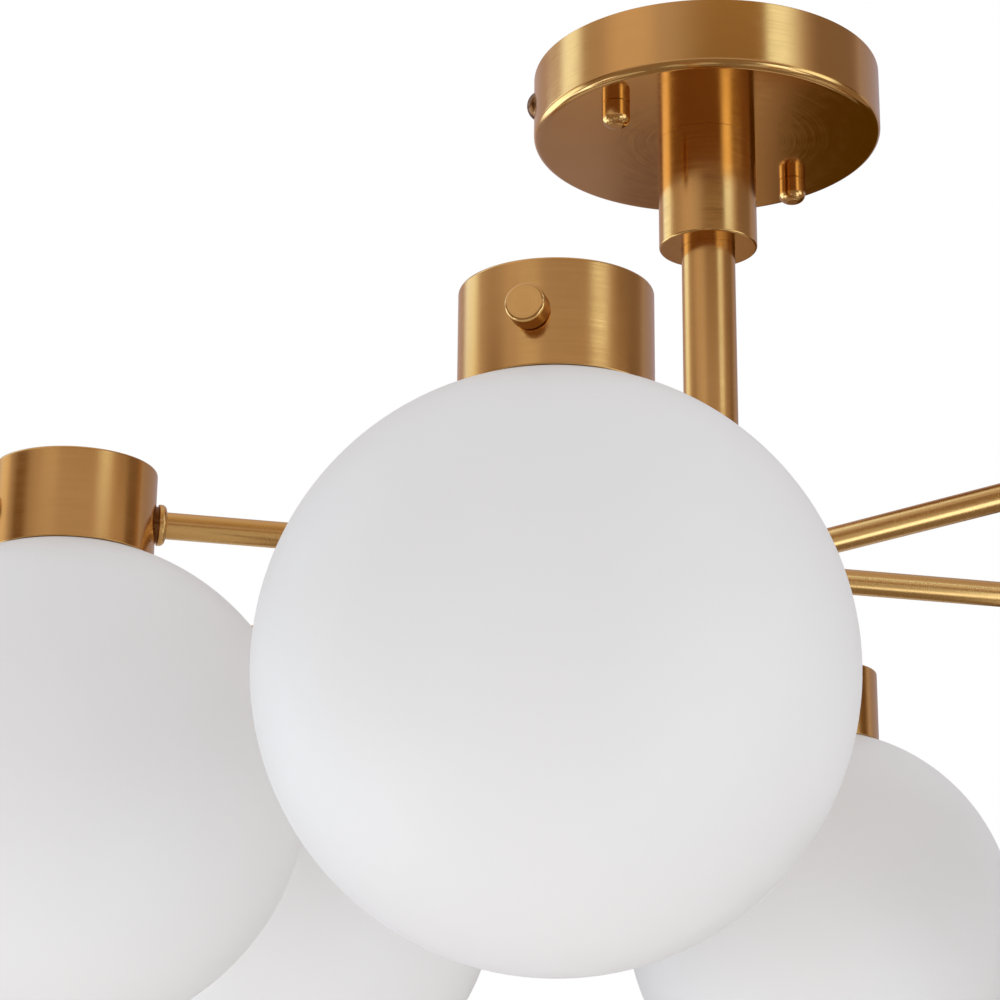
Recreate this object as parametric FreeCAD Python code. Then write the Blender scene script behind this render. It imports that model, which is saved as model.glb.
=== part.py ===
# Six-arm semi-flush ceiling light: brass canopy, stem and hub, six arms with opal glass globes.
# Millimetres, +Z up. The origin is on the ceiling plane, on the stem's axis, and the light hangs
# below it. The X axis runs along the ceiling crossbar and its two canopy studs.
import FreeCAD
import Part

import math
import os

Vector = FreeCAD.Vector

# Fits between pieces
slip_clearance = 0.05
thread_clearance = 0.05
moving_clearance = 0.3
hole_clearance = 0.25

# Canopy, a spun dish that covers the ceiling box
canopy_diameter = 120.0
canopy_height = 24.0
canopy_wall = 1.2
canopy_bend = 0.6
stud_inset = 15.3
side_screw_angle = 136.8
side_screw_depth = 9.8

# Ceiling crossbar, a jogged steel strip with a tongue for the terminal block
bar_width = 18.0
bar_thickness = 1.6
bar_jog = 4.0
bar_jog_run = 3.0
bar_stud_land = 5.2
bar_end_margin = 9.3
slot_width = 4.5
slot_length = 12.0
slot_margin = 0.5
tongue_margin = 12.8

# Canopy studs, the small lock nuts and the cap nuts under the canopy
stud_diameter = 4.0
stud_head_diameter = 7.5
stud_head_height = 2.6
lock_nut_flats = 7.0
lock_nut_height = 3.2
cap_nut_diameter = 9.5
cap_nut_length = 8.2
cap_nut_round = 3.0
cap_nut_end = 1.5
stud_end_gap = 0.5

# Side screw of the canopy with its nut
side_screw_head_diameter = 9.4
side_screw_head_height = 2.5
side_screw_diameter = 4.0
side_screw_reach = 7.0

# Wiring parts in the canopy
ground_screw_diameter = 4.0
ground_head_diameter = 8.0
ground_head_height = 3.0
ground_screw_place = 12.0
terminal_length = 30.0
terminal_width = 17.0
terminal_height = 14.0
terminal_poles = 3
terminal_port_diameter = 4.0
terminal_peg_diameter = 4.0
terminal_edge = 3.5

# Hollow threaded nipples that join canopy, stem and hub
nipple_diameter = 10.0
nipple_bore = 7.0
nipple_nut_flats = 16.0
nipple_nut_height = 4.0
nipple_stand = 4.0
washer_diameter = 22.0
washer_thickness = 1.2
wire_window = 5.0

# Neck collar, the bush inside it, and the stem
collar_diameter = 33.6
collar_length = 39.6
collar_wall = 1.2
collar_bend = 0.6
bush_length = 14.0
bush_floor = 6.0
stem_diameter = 18.3
stem_wall = 2.0
stem_drop = 139.0
plug_length = 12.0

# Hub drum, its lid and finial
hub_diameter = 50.8
hub_height = 28.7
hub_wall = 1.2
hub_bend = 0.3
hub_arm_depth = 15.45
lid_thickness = 1.5
lid_lip_height = 2.5
finial_diameter = 15.0
finial_length = 11.0
finial_wall = 2.0

# Arms and what fixes them
arm_count = 6
arm_start_angle = -28.3
arm_reach = 210.0
arm_diameter = 8.5
arm_wall = 1.2
arm_nut_flats = 12.0
arm_nut_height = 3.0
rosette_diameter = 13.0
rosette_height = 3.2
rosette_round = 2.0

# Glass holder cups at the arm ends
cup_diameter = 50.8
cup_height = 28.7
cup_wall = 1.0
cup_bend = 0.3
cup_arm_depth = 15.45

# Thumbscrews that clamp the glass, opposite the arms
knob_diameter = 10.4
knob_height = 6.0
knob_chamfer = 0.5
knob_gap = 0.6
knob_rise = 1.0
screw_diameter = 4.0
insert_diameter = 7.0
insert_height = 2.2

# Opal glass globes
globe_diameter = 151.0
globe_wall = 2.5
neck_clearance = 0.4
globe_rim_gap = 0.35
neck_above_screw = 0.5

# Lamp holders, their screws and the capsule bulbs
holder_diameter = 20.0
holder_height = 20.0
holder_edge = 1.5
holder_screw_diameter = 3.0
holder_screw_spacing = 12.0
holder_screw_depth = 7.0
holder_screw_head_diameter = 5.6
holder_screw_head_height = 1.8
pin_spacing = 9.0
pin_width = 2.4
pin_thickness = 0.9
pin_length = 6.5
pin_bottom_gap = 1.2
bulb_base_diameter = 15.0
bulb_base_length = 9.0
bulb_diameter = 16.5
bulb_length = 50.0

# Levels and radii that follow from the sizes above
canopy_radius = canopy_diameter / 2
canopy_floor = -canopy_height
canopy_inside = canopy_floor + canopy_wall
stud_radius = stud_diameter / 2
stud_place = canopy_radius - stud_inset
bar_length = 2 * (stud_place + bar_end_margin)
bar_jog_foot = stud_place - bar_stud_land
bar_jog_head = bar_jog_foot - bar_jog_run
slot_place = bar_jog_head - slot_margin - slot_length / 2
slot_spacing = 2 * slot_place
tongue_length = canopy_radius - canopy_wall - tongue_margin
bar_end_top = -bar_jog
bar_end_bottom = bar_end_top - bar_thickness
nipple_radius = nipple_diameter / 2
washer_top = canopy_inside + washer_thickness
collar_radius = collar_diameter / 2
collar_end = canopy_floor - collar_length
bush_end = canopy_floor - bush_length
stem_radius = stem_diameter / 2
stem_top = canopy_floor - bush_floor
hub_top = canopy_floor - stem_drop
hub_radius = hub_diameter / 2
hub_inner = hub_radius - hub_wall
hub_end = hub_top - hub_height
lid_top = hub_end + lid_thickness
arm_level = hub_top - hub_arm_depth
arm_radius = arm_diameter / 2
arm_bore_radius = arm_radius - arm_wall
cup_radius = cup_diameter / 2
cup_inner = cup_radius - cup_wall
arm_nut_corner = arm_nut_flats / math.sqrt(3)
cup_nut_face = math.sqrt(cup_inner ** 2 - arm_nut_corner ** 2) - arm_nut_height
cup_top = arm_level + cup_arm_depth
cup_roof = cup_top - cup_wall
cup_rim = cup_top - cup_height
globe_radius = globe_diameter / 2
globe_inner = globe_radius - globe_wall
neck_radius = cup_nut_face - neck_clearance
neck_inner = neck_radius - globe_wall
screw_level = arm_level + knob_rise
neck_top = screw_level + neck_above_screw
globe_rim_rise = math.sqrt(globe_radius ** 2 - cup_radius ** 2)
globe_centre = cup_rim - globe_rim_gap - globe_rim_rise
holder_end = cup_roof - holder_height
bulb_top = holder_end - moving_clearance


def arm_angles():
    """Angle of each arm about the stem, in degrees."""
    step = 360.0 / arm_count
    return [arm_start_angle + step * number for number in range(arm_count)]


def around(shape, angle):
    """Copy of a shape turned about the stem's axis."""
    turned_copy = shape.copy()
    turned_copy.rotate(Vector(0, 0, 0), Vector(0, 0, 1), angle)
    return turned_copy


def post(radius, low, high, x=0.0, y=0.0):
    """Upright cylinder between two levels."""
    return Part.makeCylinder(radius, high - low, Vector(x, y, low))


def ring(outer, inner, low, high, x=0.0, y=0.0):
    """Upright tube between two levels."""
    return post(outer, low, high, x, y).cut(post(inner, low, high, x, y))


def rod(radius, start, end, level):
    """Level cylinder along +X between two distances from the stem."""
    return Part.makeCylinder(radius, end - start, Vector(start, 0, level), Vector(1, 0, 0))


def block(size_x, size_y, low, high, x=0.0, y=0.0):
    """Upright box centred on a point in plan."""
    corner = Vector(x - size_x / 2, y - size_y / 2, low)
    return Part.makeBox(size_x, size_y, high - low, corner)


def spin(points, axis_point=Vector(0, 0, 0), axis=Vector(0, 0, 1)):
    """Solid of revolution of a closed outline of straight lines."""
    outline = Part.makePolygon(points + [points[0]])
    return Part.Face(outline).revolve(axis_point, axis, 360)


def hex_post(flats, low, high, x=0.0, y=0.0):
    """Upright hexagonal prism of a given size across flats."""
    corner = flats / math.sqrt(3)
    turns = [math.radians(60 * number) for number in range(6)]
    points = [Vector(x + corner * math.cos(turn), y + corner * math.sin(turn), low) for turn in turns]
    face = Part.Face(Part.makePolygon(points + [points[0]]))
    return face.extrude(Vector(0, 0, high - low))


def hex_rod(flats, start, end, level):
    """Level hexagonal prism along +X."""
    prism = hex_post(flats, 0, end - start)
    prism.rotate(Vector(0, 0, 0), Vector(0, 1, 0), 90)
    prism.translate(Vector(start, 0, level))
    return prism


def spun_dish(radius, rim, base, wall, bend, hole=0.0):
    """Spun sheet dish: a wall from its rim to a flat base, with a bend of even thickness."""
    side = 1 if rim > base else -1
    outer_bend = bend + wall
    bend_x = radius - outer_bend
    bend_z = base + side * outer_bend
    half = math.sqrt(0.5)
    corners = {
        "rim_out": Vector(radius, 0, rim),
        "bend_out": Vector(radius, 0, bend_z),
        "base_out": Vector(bend_x, 0, base),
        "hole_out": Vector(hole, 0, base),
        "hole_in": Vector(hole, 0, base + side * wall),
        "base_in": Vector(bend_x, 0, base + side * wall),
        "bend_in": Vector(radius - wall, 0, bend_z),
        "rim_in": Vector(radius - wall, 0, rim),
    }
    middle_out = Vector(bend_x + outer_bend * half, 0, bend_z - side * outer_bend * half)
    middle_in = Vector(bend_x + bend * half, 0, bend_z - side * bend * half)

    def line(first, second):
        return Part.LineSegment(corners[first], corners[second]).toShape()

    edges = [
        line("rim_out", "bend_out"),
        Part.Arc(corners["bend_out"], middle_out, corners["base_out"]).toShape(),
        line("base_out", "hole_out"),
        line("hole_out", "hole_in"),
        line("hole_in", "base_in"),
        Part.Arc(corners["base_in"], middle_in, corners["bend_in"]).toShape(),
        line("bend_in", "rim_in"),
        line("rim_in", "rim_out"),
    ]
    return Part.Face(Part.Wire(edges)).revolve(Vector(0, 0, 0), Vector(0, 0, 1), 360)


def moved(shape, x, y=0.0, z=0.0):
    """Copy of a shape shifted by a distance."""
    shifted = shape.copy()
    shifted.translate(Vector(x, y, z))
    return shifted


def rounded_end(shape, level, radius):
    """Round the circular edge of a post at a level."""
    edges = [edge for edge in shape.Edges if abs(edge.BoundBox.ZMax - level) < 1e-6
             and abs(edge.BoundBox.ZMin - level) < 1e-6]
    return shape.makeFillet(radius, edges)


def stud_places():
    """Both canopy studs, as distances along the crossbar."""
    return [-stud_place, stud_place]


def make_crossbar():
    """Strip against the ceiling whose ends step down, with a tongue for the terminal block."""
    half_length = bar_length / 2
    top = [(-half_length, bar_end_top), (-bar_jog_foot, bar_end_top), (-bar_jog_head, 0.0),
           (bar_jog_head, 0.0), (bar_jog_foot, bar_end_top), (half_length, bar_end_top)]
    bottom = [(x, z - bar_thickness) for x, z in reversed(top)]
    points = [Vector(x, -bar_width / 2, z) for x, z in top + bottom]
    face = Part.Face(Part.makePolygon(points + [points[0]]))
    bar = face.extrude(Vector(0, bar_width, 0))
    bar = bar.fuse(block(bar_width, tongue_length, -bar_thickness, 0, 0, -tongue_length / 2))
    bar = bar.removeSplitter()
    slot_radius = slot_width / 2
    slot_straight = slot_length - slot_width
    for side in (-1, 1):
        place = side * slot_place
        slot = block(slot_straight, slot_width, -bar_thickness, 0, place)
        for end in (-1, 1):
            slot = slot.fuse(post(slot_radius, -bar_thickness, 0, place + end * slot_straight / 2))
        bar = bar.cut(slot)
    for place in stud_places():
        bar = bar.cut(post(stud_radius + thread_clearance, bar_end_bottom, bar_end_top, place))
    ground_hole = ground_screw_diameter / 2 + thread_clearance
    bar = bar.cut(post(ground_hole, -bar_thickness, 0, ground_screw_place))
    peg_hole = terminal_peg_diameter / 2 + slip_clearance
    return bar.cut(post(peg_hole, -bar_thickness, 0, 0, terminal_place()))


def terminal_place():
    """Middle of the terminal block, near the tongue's free end."""
    return -tongue_length + terminal_width / 2 + terminal_edge


def make_canopy():
    """Dish with a hole for the nipple, two for the studs and one for the side screw."""
    nipple_hole = nipple_radius + hole_clearance
    canopy = spun_dish(canopy_radius, 0.0, canopy_floor, canopy_wall, canopy_bend, nipple_hole)
    for place in stud_places():
        canopy = canopy.cut(post(stud_radius + hole_clearance, canopy_floor, canopy_inside, place))
    side_hole = rod(side_screw_diameter / 2 + hole_clearance, canopy_radius - 2 * canopy_wall,
                    canopy_radius + canopy_wall, -side_screw_depth)
    return canopy.cut(around(side_hole, side_screw_angle))


def stud_end():
    """Level where the studs end inside the cap nuts."""
    return canopy_floor - cap_nut_length + cap_nut_end + stud_end_gap


def make_stud(place):
    """Round-headed screw that hangs from the crossbar's end."""
    head = post(stud_head_diameter / 2, bar_end_top, bar_end_top + stud_head_height, place)
    head = rounded_end(head, bar_end_top + stud_head_height, stud_head_height / 3)
    return head.fuse(post(stud_radius, stud_end(), bar_end_top, place)).removeSplitter()


def make_stud_nut(place):
    """Hexagon nut that locks a stud under the crossbar."""
    low = bar_end_bottom - lock_nut_height
    nut = hex_post(lock_nut_flats, low, bar_end_bottom, place)
    return nut.cut(post(stud_radius + thread_clearance, low, bar_end_bottom, place))


def make_cap_nut(place):
    """Blind round nut with a rounded end, under the canopy."""
    end = canopy_floor - cap_nut_length
    nut = rounded_end(post(cap_nut_diameter / 2, end, canopy_floor, place), end, cap_nut_round)
    return nut.cut(post(stud_radius + thread_clearance, end + cap_nut_end, canopy_floor, place))


def make_side_screw():
    """Dome-headed screw through the canopy's wall."""
    head_radius = side_screw_head_diameter / 2
    height = side_screw_head_height
    dome_radius = (head_radius ** 2 + height ** 2) / (2 * height)
    seat = math.sqrt(canopy_radius ** 2 - head_radius ** 2)
    dome = Part.makeSphere(dome_radius, Vector(canopy_radius + height - dome_radius, 0, -side_screw_depth))
    head = dome.common(rod(head_radius, seat, canopy_radius + height, -side_screw_depth))
    skirt = rod(head_radius, seat, canopy_radius, -side_screw_depth)
    head = head.fuse(skirt).cut(post(canopy_radius, -canopy_height, 0))
    shank_start = canopy_radius - canopy_wall - side_screw_reach
    shank = rod(side_screw_diameter / 2, shank_start, canopy_radius + height / 2, -side_screw_depth)
    return around(head.fuse(shank).removeSplitter(), side_screw_angle)


def make_side_nut():
    """Nut of the side screw, against the inside of the canopy's wall."""
    inner = canopy_radius - canopy_wall
    corner = lock_nut_flats / math.sqrt(3)
    seat = math.sqrt(inner ** 2 - corner ** 2)
    back = seat - lock_nut_height
    nut = hex_rod(lock_nut_flats, back, seat, -side_screw_depth)
    bore = rod(side_screw_diameter / 2 + thread_clearance, back, seat, -side_screw_depth)
    return around(nut.cut(bore), side_screw_angle)


def make_ground_screw():
    """Earth screw under the crossbar."""
    head_low = -bar_thickness - ground_head_height
    head = post(ground_head_diameter / 2, head_low, -bar_thickness, ground_screw_place)
    head = rounded_end(head, head_low, ground_head_height / 3)
    shank = post(ground_screw_diameter / 2, -bar_thickness, 0, ground_screw_place)
    return head.fuse(shank).removeSplitter()


def make_terminal_block():
    """Terminal block pegged under the tongue, with wire ports and clamp screw ports at each pole."""
    place = terminal_place()
    top = -bar_thickness
    low = top - terminal_height
    body = block(terminal_length, terminal_width, low, top, 0, place)
    port = terminal_port_diameter / 2
    pitch = terminal_length / terminal_poles
    port_level = (top + low) / 2
    for number in range(terminal_poles):
        x = pitch * (number - (terminal_poles - 1) / 2)
        for side in (-1, 1):
            face = place + side * terminal_width / 2
            depth = terminal_width / 4
            start = Vector(x, face, port_level)
            body = body.cut(Part.makeCylinder(port, depth, start, Vector(0, -side, 0)))
            screw_y = place + side * terminal_width / 3
            body = body.cut(post(port / 2, low, port_level - port, x, screw_y))
    peg = post(terminal_peg_diameter / 2, top, 0, 0, place)
    return body.fuse(peg).removeSplitter()


def make_canopy_nipple():
    """Hollow threaded tube from the canopy's inside into the bush."""
    high = washer_top + nipple_nut_height + nipple_stand
    return ring(nipple_radius, nipple_bore / 2, stem_top, high)


def make_canopy_washer():
    """Washer under the canopy's nipple nut."""
    return ring(washer_diameter / 2, nipple_radius + hole_clearance, canopy_inside, washer_top)


def make_nipple_nut(low):
    """Hexagon nut on a nipple."""
    nut = hex_post(nipple_nut_flats, low, low + nipple_nut_height)
    return nut.cut(post(nipple_radius + thread_clearance, low, low + nipple_nut_height))


def make_bush():
    """Turned bush under the canopy: threaded for the nipple, socketed for the stem."""
    bush = post(collar_radius - collar_wall - slip_clearance, bush_end, canopy_floor)
    bush = bush.cut(post(nipple_radius + thread_clearance, stem_top, canopy_floor))
    return bush.cut(post(stem_radius + slip_clearance, bush_end, stem_top))


def make_collar():
    """Cover sleeve over the bush, closed round the stem at its lower end."""
    hole = stem_radius + hole_clearance
    return spun_dish(collar_radius, canopy_floor, collar_end, collar_wall, collar_bend, hole)


def make_stem():
    """Stem tube from the bush to the hub."""
    return ring(stem_radius, stem_radius - stem_wall, hub_top, stem_top)


def make_stem_plug():
    """Threaded plug in the stem's lower end."""
    outer = stem_radius - stem_wall - slip_clearance
    return ring(outer, nipple_radius + thread_clearance, hub_top, hub_top + plug_length)


def make_hub_nipple():
    """Hollow threaded tube from the stem through the hub to the finial, with a wire window."""
    low = hub_end - finial_length + finial_wall + stud_end_gap
    nipple = ring(nipple_radius, nipple_bore / 2, low, hub_top + plug_length)
    return nipple.cut(rod(wire_window / 2, -nipple_diameter, nipple_diameter, arm_level))


def make_hub_body():
    """Drum with a hole in its roof and one in its wall for each arm."""
    drum = spun_dish(hub_radius, lid_top, hub_top, hub_wall, hub_bend, nipple_radius + hole_clearance)
    hole = rod(arm_radius + slip_clearance, hub_inner - hub_wall, hub_radius + hub_wall, arm_level)
    for angle in arm_angles():
        drum = drum.cut(around(hole, angle))
    return drum


def make_hub_lid():
    """Lid that closes the drum from below, with a locating lip."""
    lid = post(hub_radius, hub_end, lid_top)
    lip = ring(hub_inner - slip_clearance, hub_inner - hub_wall, lid_top, lid_top + lid_lip_height)
    hole = post(nipple_radius + hole_clearance, hub_end, lid_top)
    return lid.fuse(lip).removeSplitter().cut(hole)


def make_finial():
    """Round nut on the nipple's end that holds the lid."""
    end = hub_end - finial_length
    finial = rounded_end(post(finial_diameter / 2, end, hub_end), end, finial_diameter / 3)
    return finial.cut(post(nipple_radius + thread_clearance, end + finial_wall, hub_end))


def nut_seat(inner_radius):
    """Distance from a drum's axis at which a flat nut meets the inside of its wall."""
    return math.sqrt(inner_radius ** 2 - arm_nut_corner ** 2)


def arm_start():
    """Inner end of an arm, flush with its nut in the hub."""
    return nut_seat(hub_inner) - arm_nut_height


def arm_end():
    """Outer end of an arm, flush with its nut in the cup."""
    return arm_reach - cup_nut_face


def make_arm():
    """Arm tube with its threaded ends, along +X."""
    tube = rod(arm_radius, arm_start(), arm_end(), arm_level)
    return tube.cut(rod(arm_bore_radius, arm_start(), arm_end(), arm_level))


def make_arm_nut(start):
    """Hexagon nut on an arm's end, along +X."""
    nut = hex_rod(arm_nut_flats, start, start + arm_nut_height, arm_level)
    return nut.cut(rod(arm_radius + thread_clearance, start, start + arm_nut_height, arm_level))


def make_rosette():
    """Round-edged collar on the arm that seats against the cup's wall."""
    outer = rosette_diameter / 2
    seat = arm_reach - math.sqrt(cup_radius ** 2 - outer ** 2)
    start = arm_reach - cup_radius - rosette_height
    disc = rod(outer, start, seat, arm_level)
    edges = [edge for edge in disc.Edges if edge.BoundBox.XMax - start < 1e-6]
    disc = disc.makeFillet(rosette_round, edges)
    disc = disc.cut(rod(arm_radius + slip_clearance, start, seat, arm_level))
    return disc.cut(post(cup_radius, cup_rim, cup_top, arm_reach))


def make_cup():
    """Cup open downwards, with holes for the arm, the thumbscrew and the holder's screws."""
    cup = moved(spun_dish(cup_radius, cup_rim, cup_top, cup_wall, cup_bend), arm_reach)
    inside = arm_reach - cup_inner + cup_wall
    outside = arm_reach + cup_inner - cup_wall
    cup = cup.cut(rod(arm_radius + slip_clearance, arm_reach - cup_diameter, inside, arm_level))
    cup = cup.cut(rod(insert_diameter / 2, outside, arm_reach + cup_diameter, screw_level))
    for y in holder_screw_places():
        cup = cup.cut(post(holder_screw_diameter / 2 + hole_clearance, cup_roof, cup_top, arm_reach, y))
    return cup


def make_insert():
    """Threaded insert riveted in the cup's wall for the thumbscrew."""
    outer = insert_diameter / 2
    flange = outer + cup_wall
    wall_face = arm_reach + math.sqrt(cup_inner ** 2 - flange ** 2)
    shell = post(cup_radius, cup_rim, cup_top, arm_reach)
    barrel = rod(outer - slip_clearance, wall_face, arm_reach + cup_diameter, screw_level).common(shell)
    insert = barrel.fuse(rod(flange, wall_face - insert_height, wall_face, screw_level))
    bore = rod(screw_diameter / 2 + thread_clearance, arm_reach, arm_reach + cup_diameter, screw_level)
    return insert.removeSplitter().cut(bore)


def make_thumbscrew():
    """Round knob on a screw whose tip stops just short of the glass neck."""
    head = arm_reach + cup_radius + knob_gap
    tip = arm_reach + neck_radius + moving_clearance
    outer = knob_diameter / 2
    core = screw_diameter / 2
    sections = [(tip, 0.0), (tip, core), (head, core), (head, outer - knob_chamfer / 2),
                (head + knob_chamfer / 2, outer), (head + knob_height - knob_chamfer, outer),
                (head + knob_height, outer - knob_chamfer), (head + knob_height, 0.0)]
    points = [Vector(x, 0, screw_level + radius) for x, radius in sections]
    return spin(points, Vector(0, 0, screw_level), Vector(1, 0, 0))


def make_globe():
    """Blown glass globe, open at a straight neck that stands up into the cup."""
    def sphere_point(radius, height):
        return Vector(math.sqrt(radius ** 2 - height ** 2), 0, globe_centre + height)

    outer_shoulder = math.sqrt(globe_radius ** 2 - neck_radius ** 2)
    inner_shoulder = math.sqrt(globe_inner ** 2 - neck_inner ** 2)
    neck_out = Vector(neck_radius, 0, neck_top)
    neck_in = Vector(neck_inner, 0, neck_top)
    shoulder_out = sphere_point(globe_radius, outer_shoulder)
    shoulder_in = sphere_point(globe_inner, inner_shoulder)
    pole_out = Vector(0, 0, globe_centre - globe_radius)
    pole_in = Vector(0, 0, globe_centre - globe_inner)
    edges = [
        Part.LineSegment(neck_out, shoulder_out).toShape(),
        Part.Arc(shoulder_out, sphere_point(globe_radius, 0.0), pole_out).toShape(),
        Part.LineSegment(pole_out, pole_in).toShape(),
        Part.Arc(pole_in, sphere_point(globe_inner, 0.0), shoulder_in).toShape(),
        Part.LineSegment(shoulder_in, neck_in).toShape(),
        Part.LineSegment(neck_in, neck_out).toShape(),
    ]
    glass = Part.Face(Part.Wire(edges)).revolve(Vector(0, 0, 0), Vector(0, 0, 1), 360)
    return moved(glass, arm_reach)


def holder_screw_places():
    """Sideways places of a lamp holder's two screws."""
    return [-holder_screw_spacing / 2, holder_screw_spacing / 2]


def pin_places():
    """Places of a bulb's two pins along the arm, from the cup's axis."""
    return [arm_reach - pin_spacing / 2, arm_reach + pin_spacing / 2]


def make_lamp_holder():
    """Ceramic holder under the cup's roof, with two pin slots and two screw holes."""
    body = post(holder_diameter / 2, holder_end, cup_roof, arm_reach)
    body = rounded_end(body, holder_end, holder_edge)
    slot_top = bulb_top + pin_length + pin_bottom_gap
    margin = 2 * moving_clearance
    for x in pin_places():
        body = body.cut(block(pin_thickness + margin, pin_width + margin, holder_end, slot_top, x))
    hole = holder_screw_diameter / 2 + thread_clearance
    for y in holder_screw_places():
        body = body.cut(post(hole, cup_roof - holder_screw_depth, cup_roof, arm_reach, y))
    return body


def make_holder_screw(y):
    """Screw through the cup's roof into the lamp holder."""
    low = cup_top - cup_wall - holder_screw_depth
    high = cup_top + holder_screw_head_height
    head = post(holder_screw_head_diameter / 2, cup_top, high, arm_reach, y)
    head = rounded_end(head, high, holder_screw_head_height / 2)
    return head.fuse(post(holder_screw_diameter / 2, low, cup_top, arm_reach, y)).removeSplitter()


def make_bulb():
    """Capsule bulb with a round base and two flat pins."""
    base_end = bulb_top - bulb_base_length
    bulb_end = bulb_top - bulb_length
    radius = bulb_diameter / 2
    base = post(bulb_base_diameter / 2, base_end, bulb_top, arm_reach)
    capsule = post(radius, bulb_end + radius, base_end, arm_reach)
    tip = Part.makeSphere(radius, Vector(arm_reach, 0, bulb_end + radius))
    bulb = base.fuse([capsule, tip])
    for x in pin_places():
        bulb = bulb.fuse(block(pin_thickness, pin_width, bulb_top, bulb_top + pin_length, x))
    return bulb.removeSplitter()


def single_pieces():
    """Pieces that occur once, by node name."""
    left, right = stud_places()
    return {
        "ceiling_crossbar": make_crossbar(),
        "canopy": make_canopy(),
        "cap_nut_left": make_cap_nut(left),
        "cap_nut_right": make_cap_nut(right),
        "canopy_side_screw": make_side_screw(),
        "ground_screw": make_ground_screw(),
        "terminal_block": make_terminal_block(),
        "canopy_nipple": make_canopy_nipple(),
        "canopy_washer": make_canopy_washer(),
        "stem_bush": make_bush(),
        "neck_collar": make_collar(),
        "stem_tube": make_stem(),
        "stem_plug": make_stem_plug(),
        "hub_nipple": make_hub_nipple(),
        "hub_body": make_hub_body(),
        "hub_lid": make_hub_lid(),
        "hub_finial": make_finial(),
    }


def fastener_groups():
    """Identical fasteners and collars, each group in one node."""
    arm_nuts = [make_arm_nut(arm_start()), make_arm_nut(arm_end() - arm_nut_height)]
    nipple_nut_levels = [washer_top, hub_top - hub_wall - nipple_nut_height]
    rosette = make_rosette()
    insert = make_insert()
    holder_screws = [make_holder_screw(y) for y in holder_screw_places()]
    return {
        "canopy_studs": [make_stud(place) for place in stud_places()],
        "lock_nuts": [make_stud_nut(place) for place in stud_places()] + [make_side_nut()],
        "nipple_nuts": [make_nipple_nut(level) for level in nipple_nut_levels],
        "arm_nuts": [around(nut, angle) for angle in arm_angles() for nut in arm_nuts],
        "arm_rosettes": [around(rosette, angle) for angle in arm_angles()],
        "thumbscrew_inserts": [around(insert, angle) for angle in arm_angles()],
        "holder_screws": [around(screw, angle) for angle in arm_angles() for screw in holder_screws],
    }


def arm_pieces():
    """Pieces that each arm has one of, by node name."""
    station = {
        "arm": make_arm(),
        "cup": make_cup(),
        "thumbscrew": make_thumbscrew(),
        "globe": make_globe(),
        "lamp_holder": make_lamp_holder(),
        "bulb": make_bulb(),
    }
    return {f"{name}_{number}": around(shape, angle)
            for number, angle in enumerate(arm_angles(), 1)
            for name, shape in station.items()}


def export(name, solids):
    """Write one node, as a single solid or a group of separate solids."""
    shape = solids[0] if len(solids) == 1 else Part.makeCompound(solids)
    shape.exportStep(f"parts/{name}.step")


def main():
    """Make every piece and write one file for each node."""
    os.makedirs("parts", exist_ok=True)
    for name, shape in {**single_pieces(), **arm_pieces()}.items():
        export(name, [shape])
    for name, solids in fastener_groups().items():
        export(name, solids)


main()
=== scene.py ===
"""Looks of a six-arm semi-flush ceiling light: turned satin brass with opal glass globes.

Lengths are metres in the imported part's frame: +Z up, origin on the ceiling plane and on the stem's
axis. A turned piece is an outline of radius and height, carried round its own axis.
"""

from __future__ import annotations

import logging
import math
from dataclasses import dataclass
from enum import Enum
from typing import Callable, Sequence

import bpy
import numpy as np
from mathutils import Matrix, Vector

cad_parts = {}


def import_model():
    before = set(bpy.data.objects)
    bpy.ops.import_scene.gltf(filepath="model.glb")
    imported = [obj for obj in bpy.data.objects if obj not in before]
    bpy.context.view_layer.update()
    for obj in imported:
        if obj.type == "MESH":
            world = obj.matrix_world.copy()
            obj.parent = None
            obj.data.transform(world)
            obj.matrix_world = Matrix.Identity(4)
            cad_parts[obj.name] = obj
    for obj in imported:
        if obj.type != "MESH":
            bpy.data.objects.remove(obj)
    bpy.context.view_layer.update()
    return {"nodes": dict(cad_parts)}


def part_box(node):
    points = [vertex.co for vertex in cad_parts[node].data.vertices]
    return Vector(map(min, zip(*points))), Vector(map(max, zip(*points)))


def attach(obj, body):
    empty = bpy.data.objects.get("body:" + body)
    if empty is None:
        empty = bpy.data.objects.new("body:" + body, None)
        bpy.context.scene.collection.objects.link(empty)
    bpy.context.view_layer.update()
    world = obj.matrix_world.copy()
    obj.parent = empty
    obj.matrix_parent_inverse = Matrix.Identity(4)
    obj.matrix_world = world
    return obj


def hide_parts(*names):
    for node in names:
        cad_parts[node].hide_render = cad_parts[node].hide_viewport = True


LOG = logging.getLogger("ceiling_light")
FIXTURE = "fixture"
ARM_NUMBERS = range(1, 7)
SIDES = ("left", "right")

# Screw threads and close fits
THREAD_PITCH = 0.0007
THREAD_DEPTH = 0.0003
FIT_CLEARANCE = 0.00005
SHANK_OVERLAP = 0.0005

# Rounding of broken corners and of cut rims
SLIGHT_BEND = 0.0002
RIM_BEND = 0.0003

FULL_TURN = 2.0 * math.pi
Colour = tuple[float, float, float]
Sockets = dict[str, bpy.types.NodeSocket]


class Slot(Enum):
    """Material slots of the record."""

    BRASS = "satin_brass"
    OPAL = "opal_glass"
    STEEL = "zinc_steel"
    CERAMIC = "lamp_ceramic"
    BULB = "bulb_glass"
    PLASTIC = "terminal_plastic"
    EARTH = "ground_green"


class Effect(Enum):
    """Shader node groups that the finishes share."""

    BRUSH = "turned_brush_lines"
    CLOUD = "cloud_mottle"
    WEAR = "edge_wear"


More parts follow.
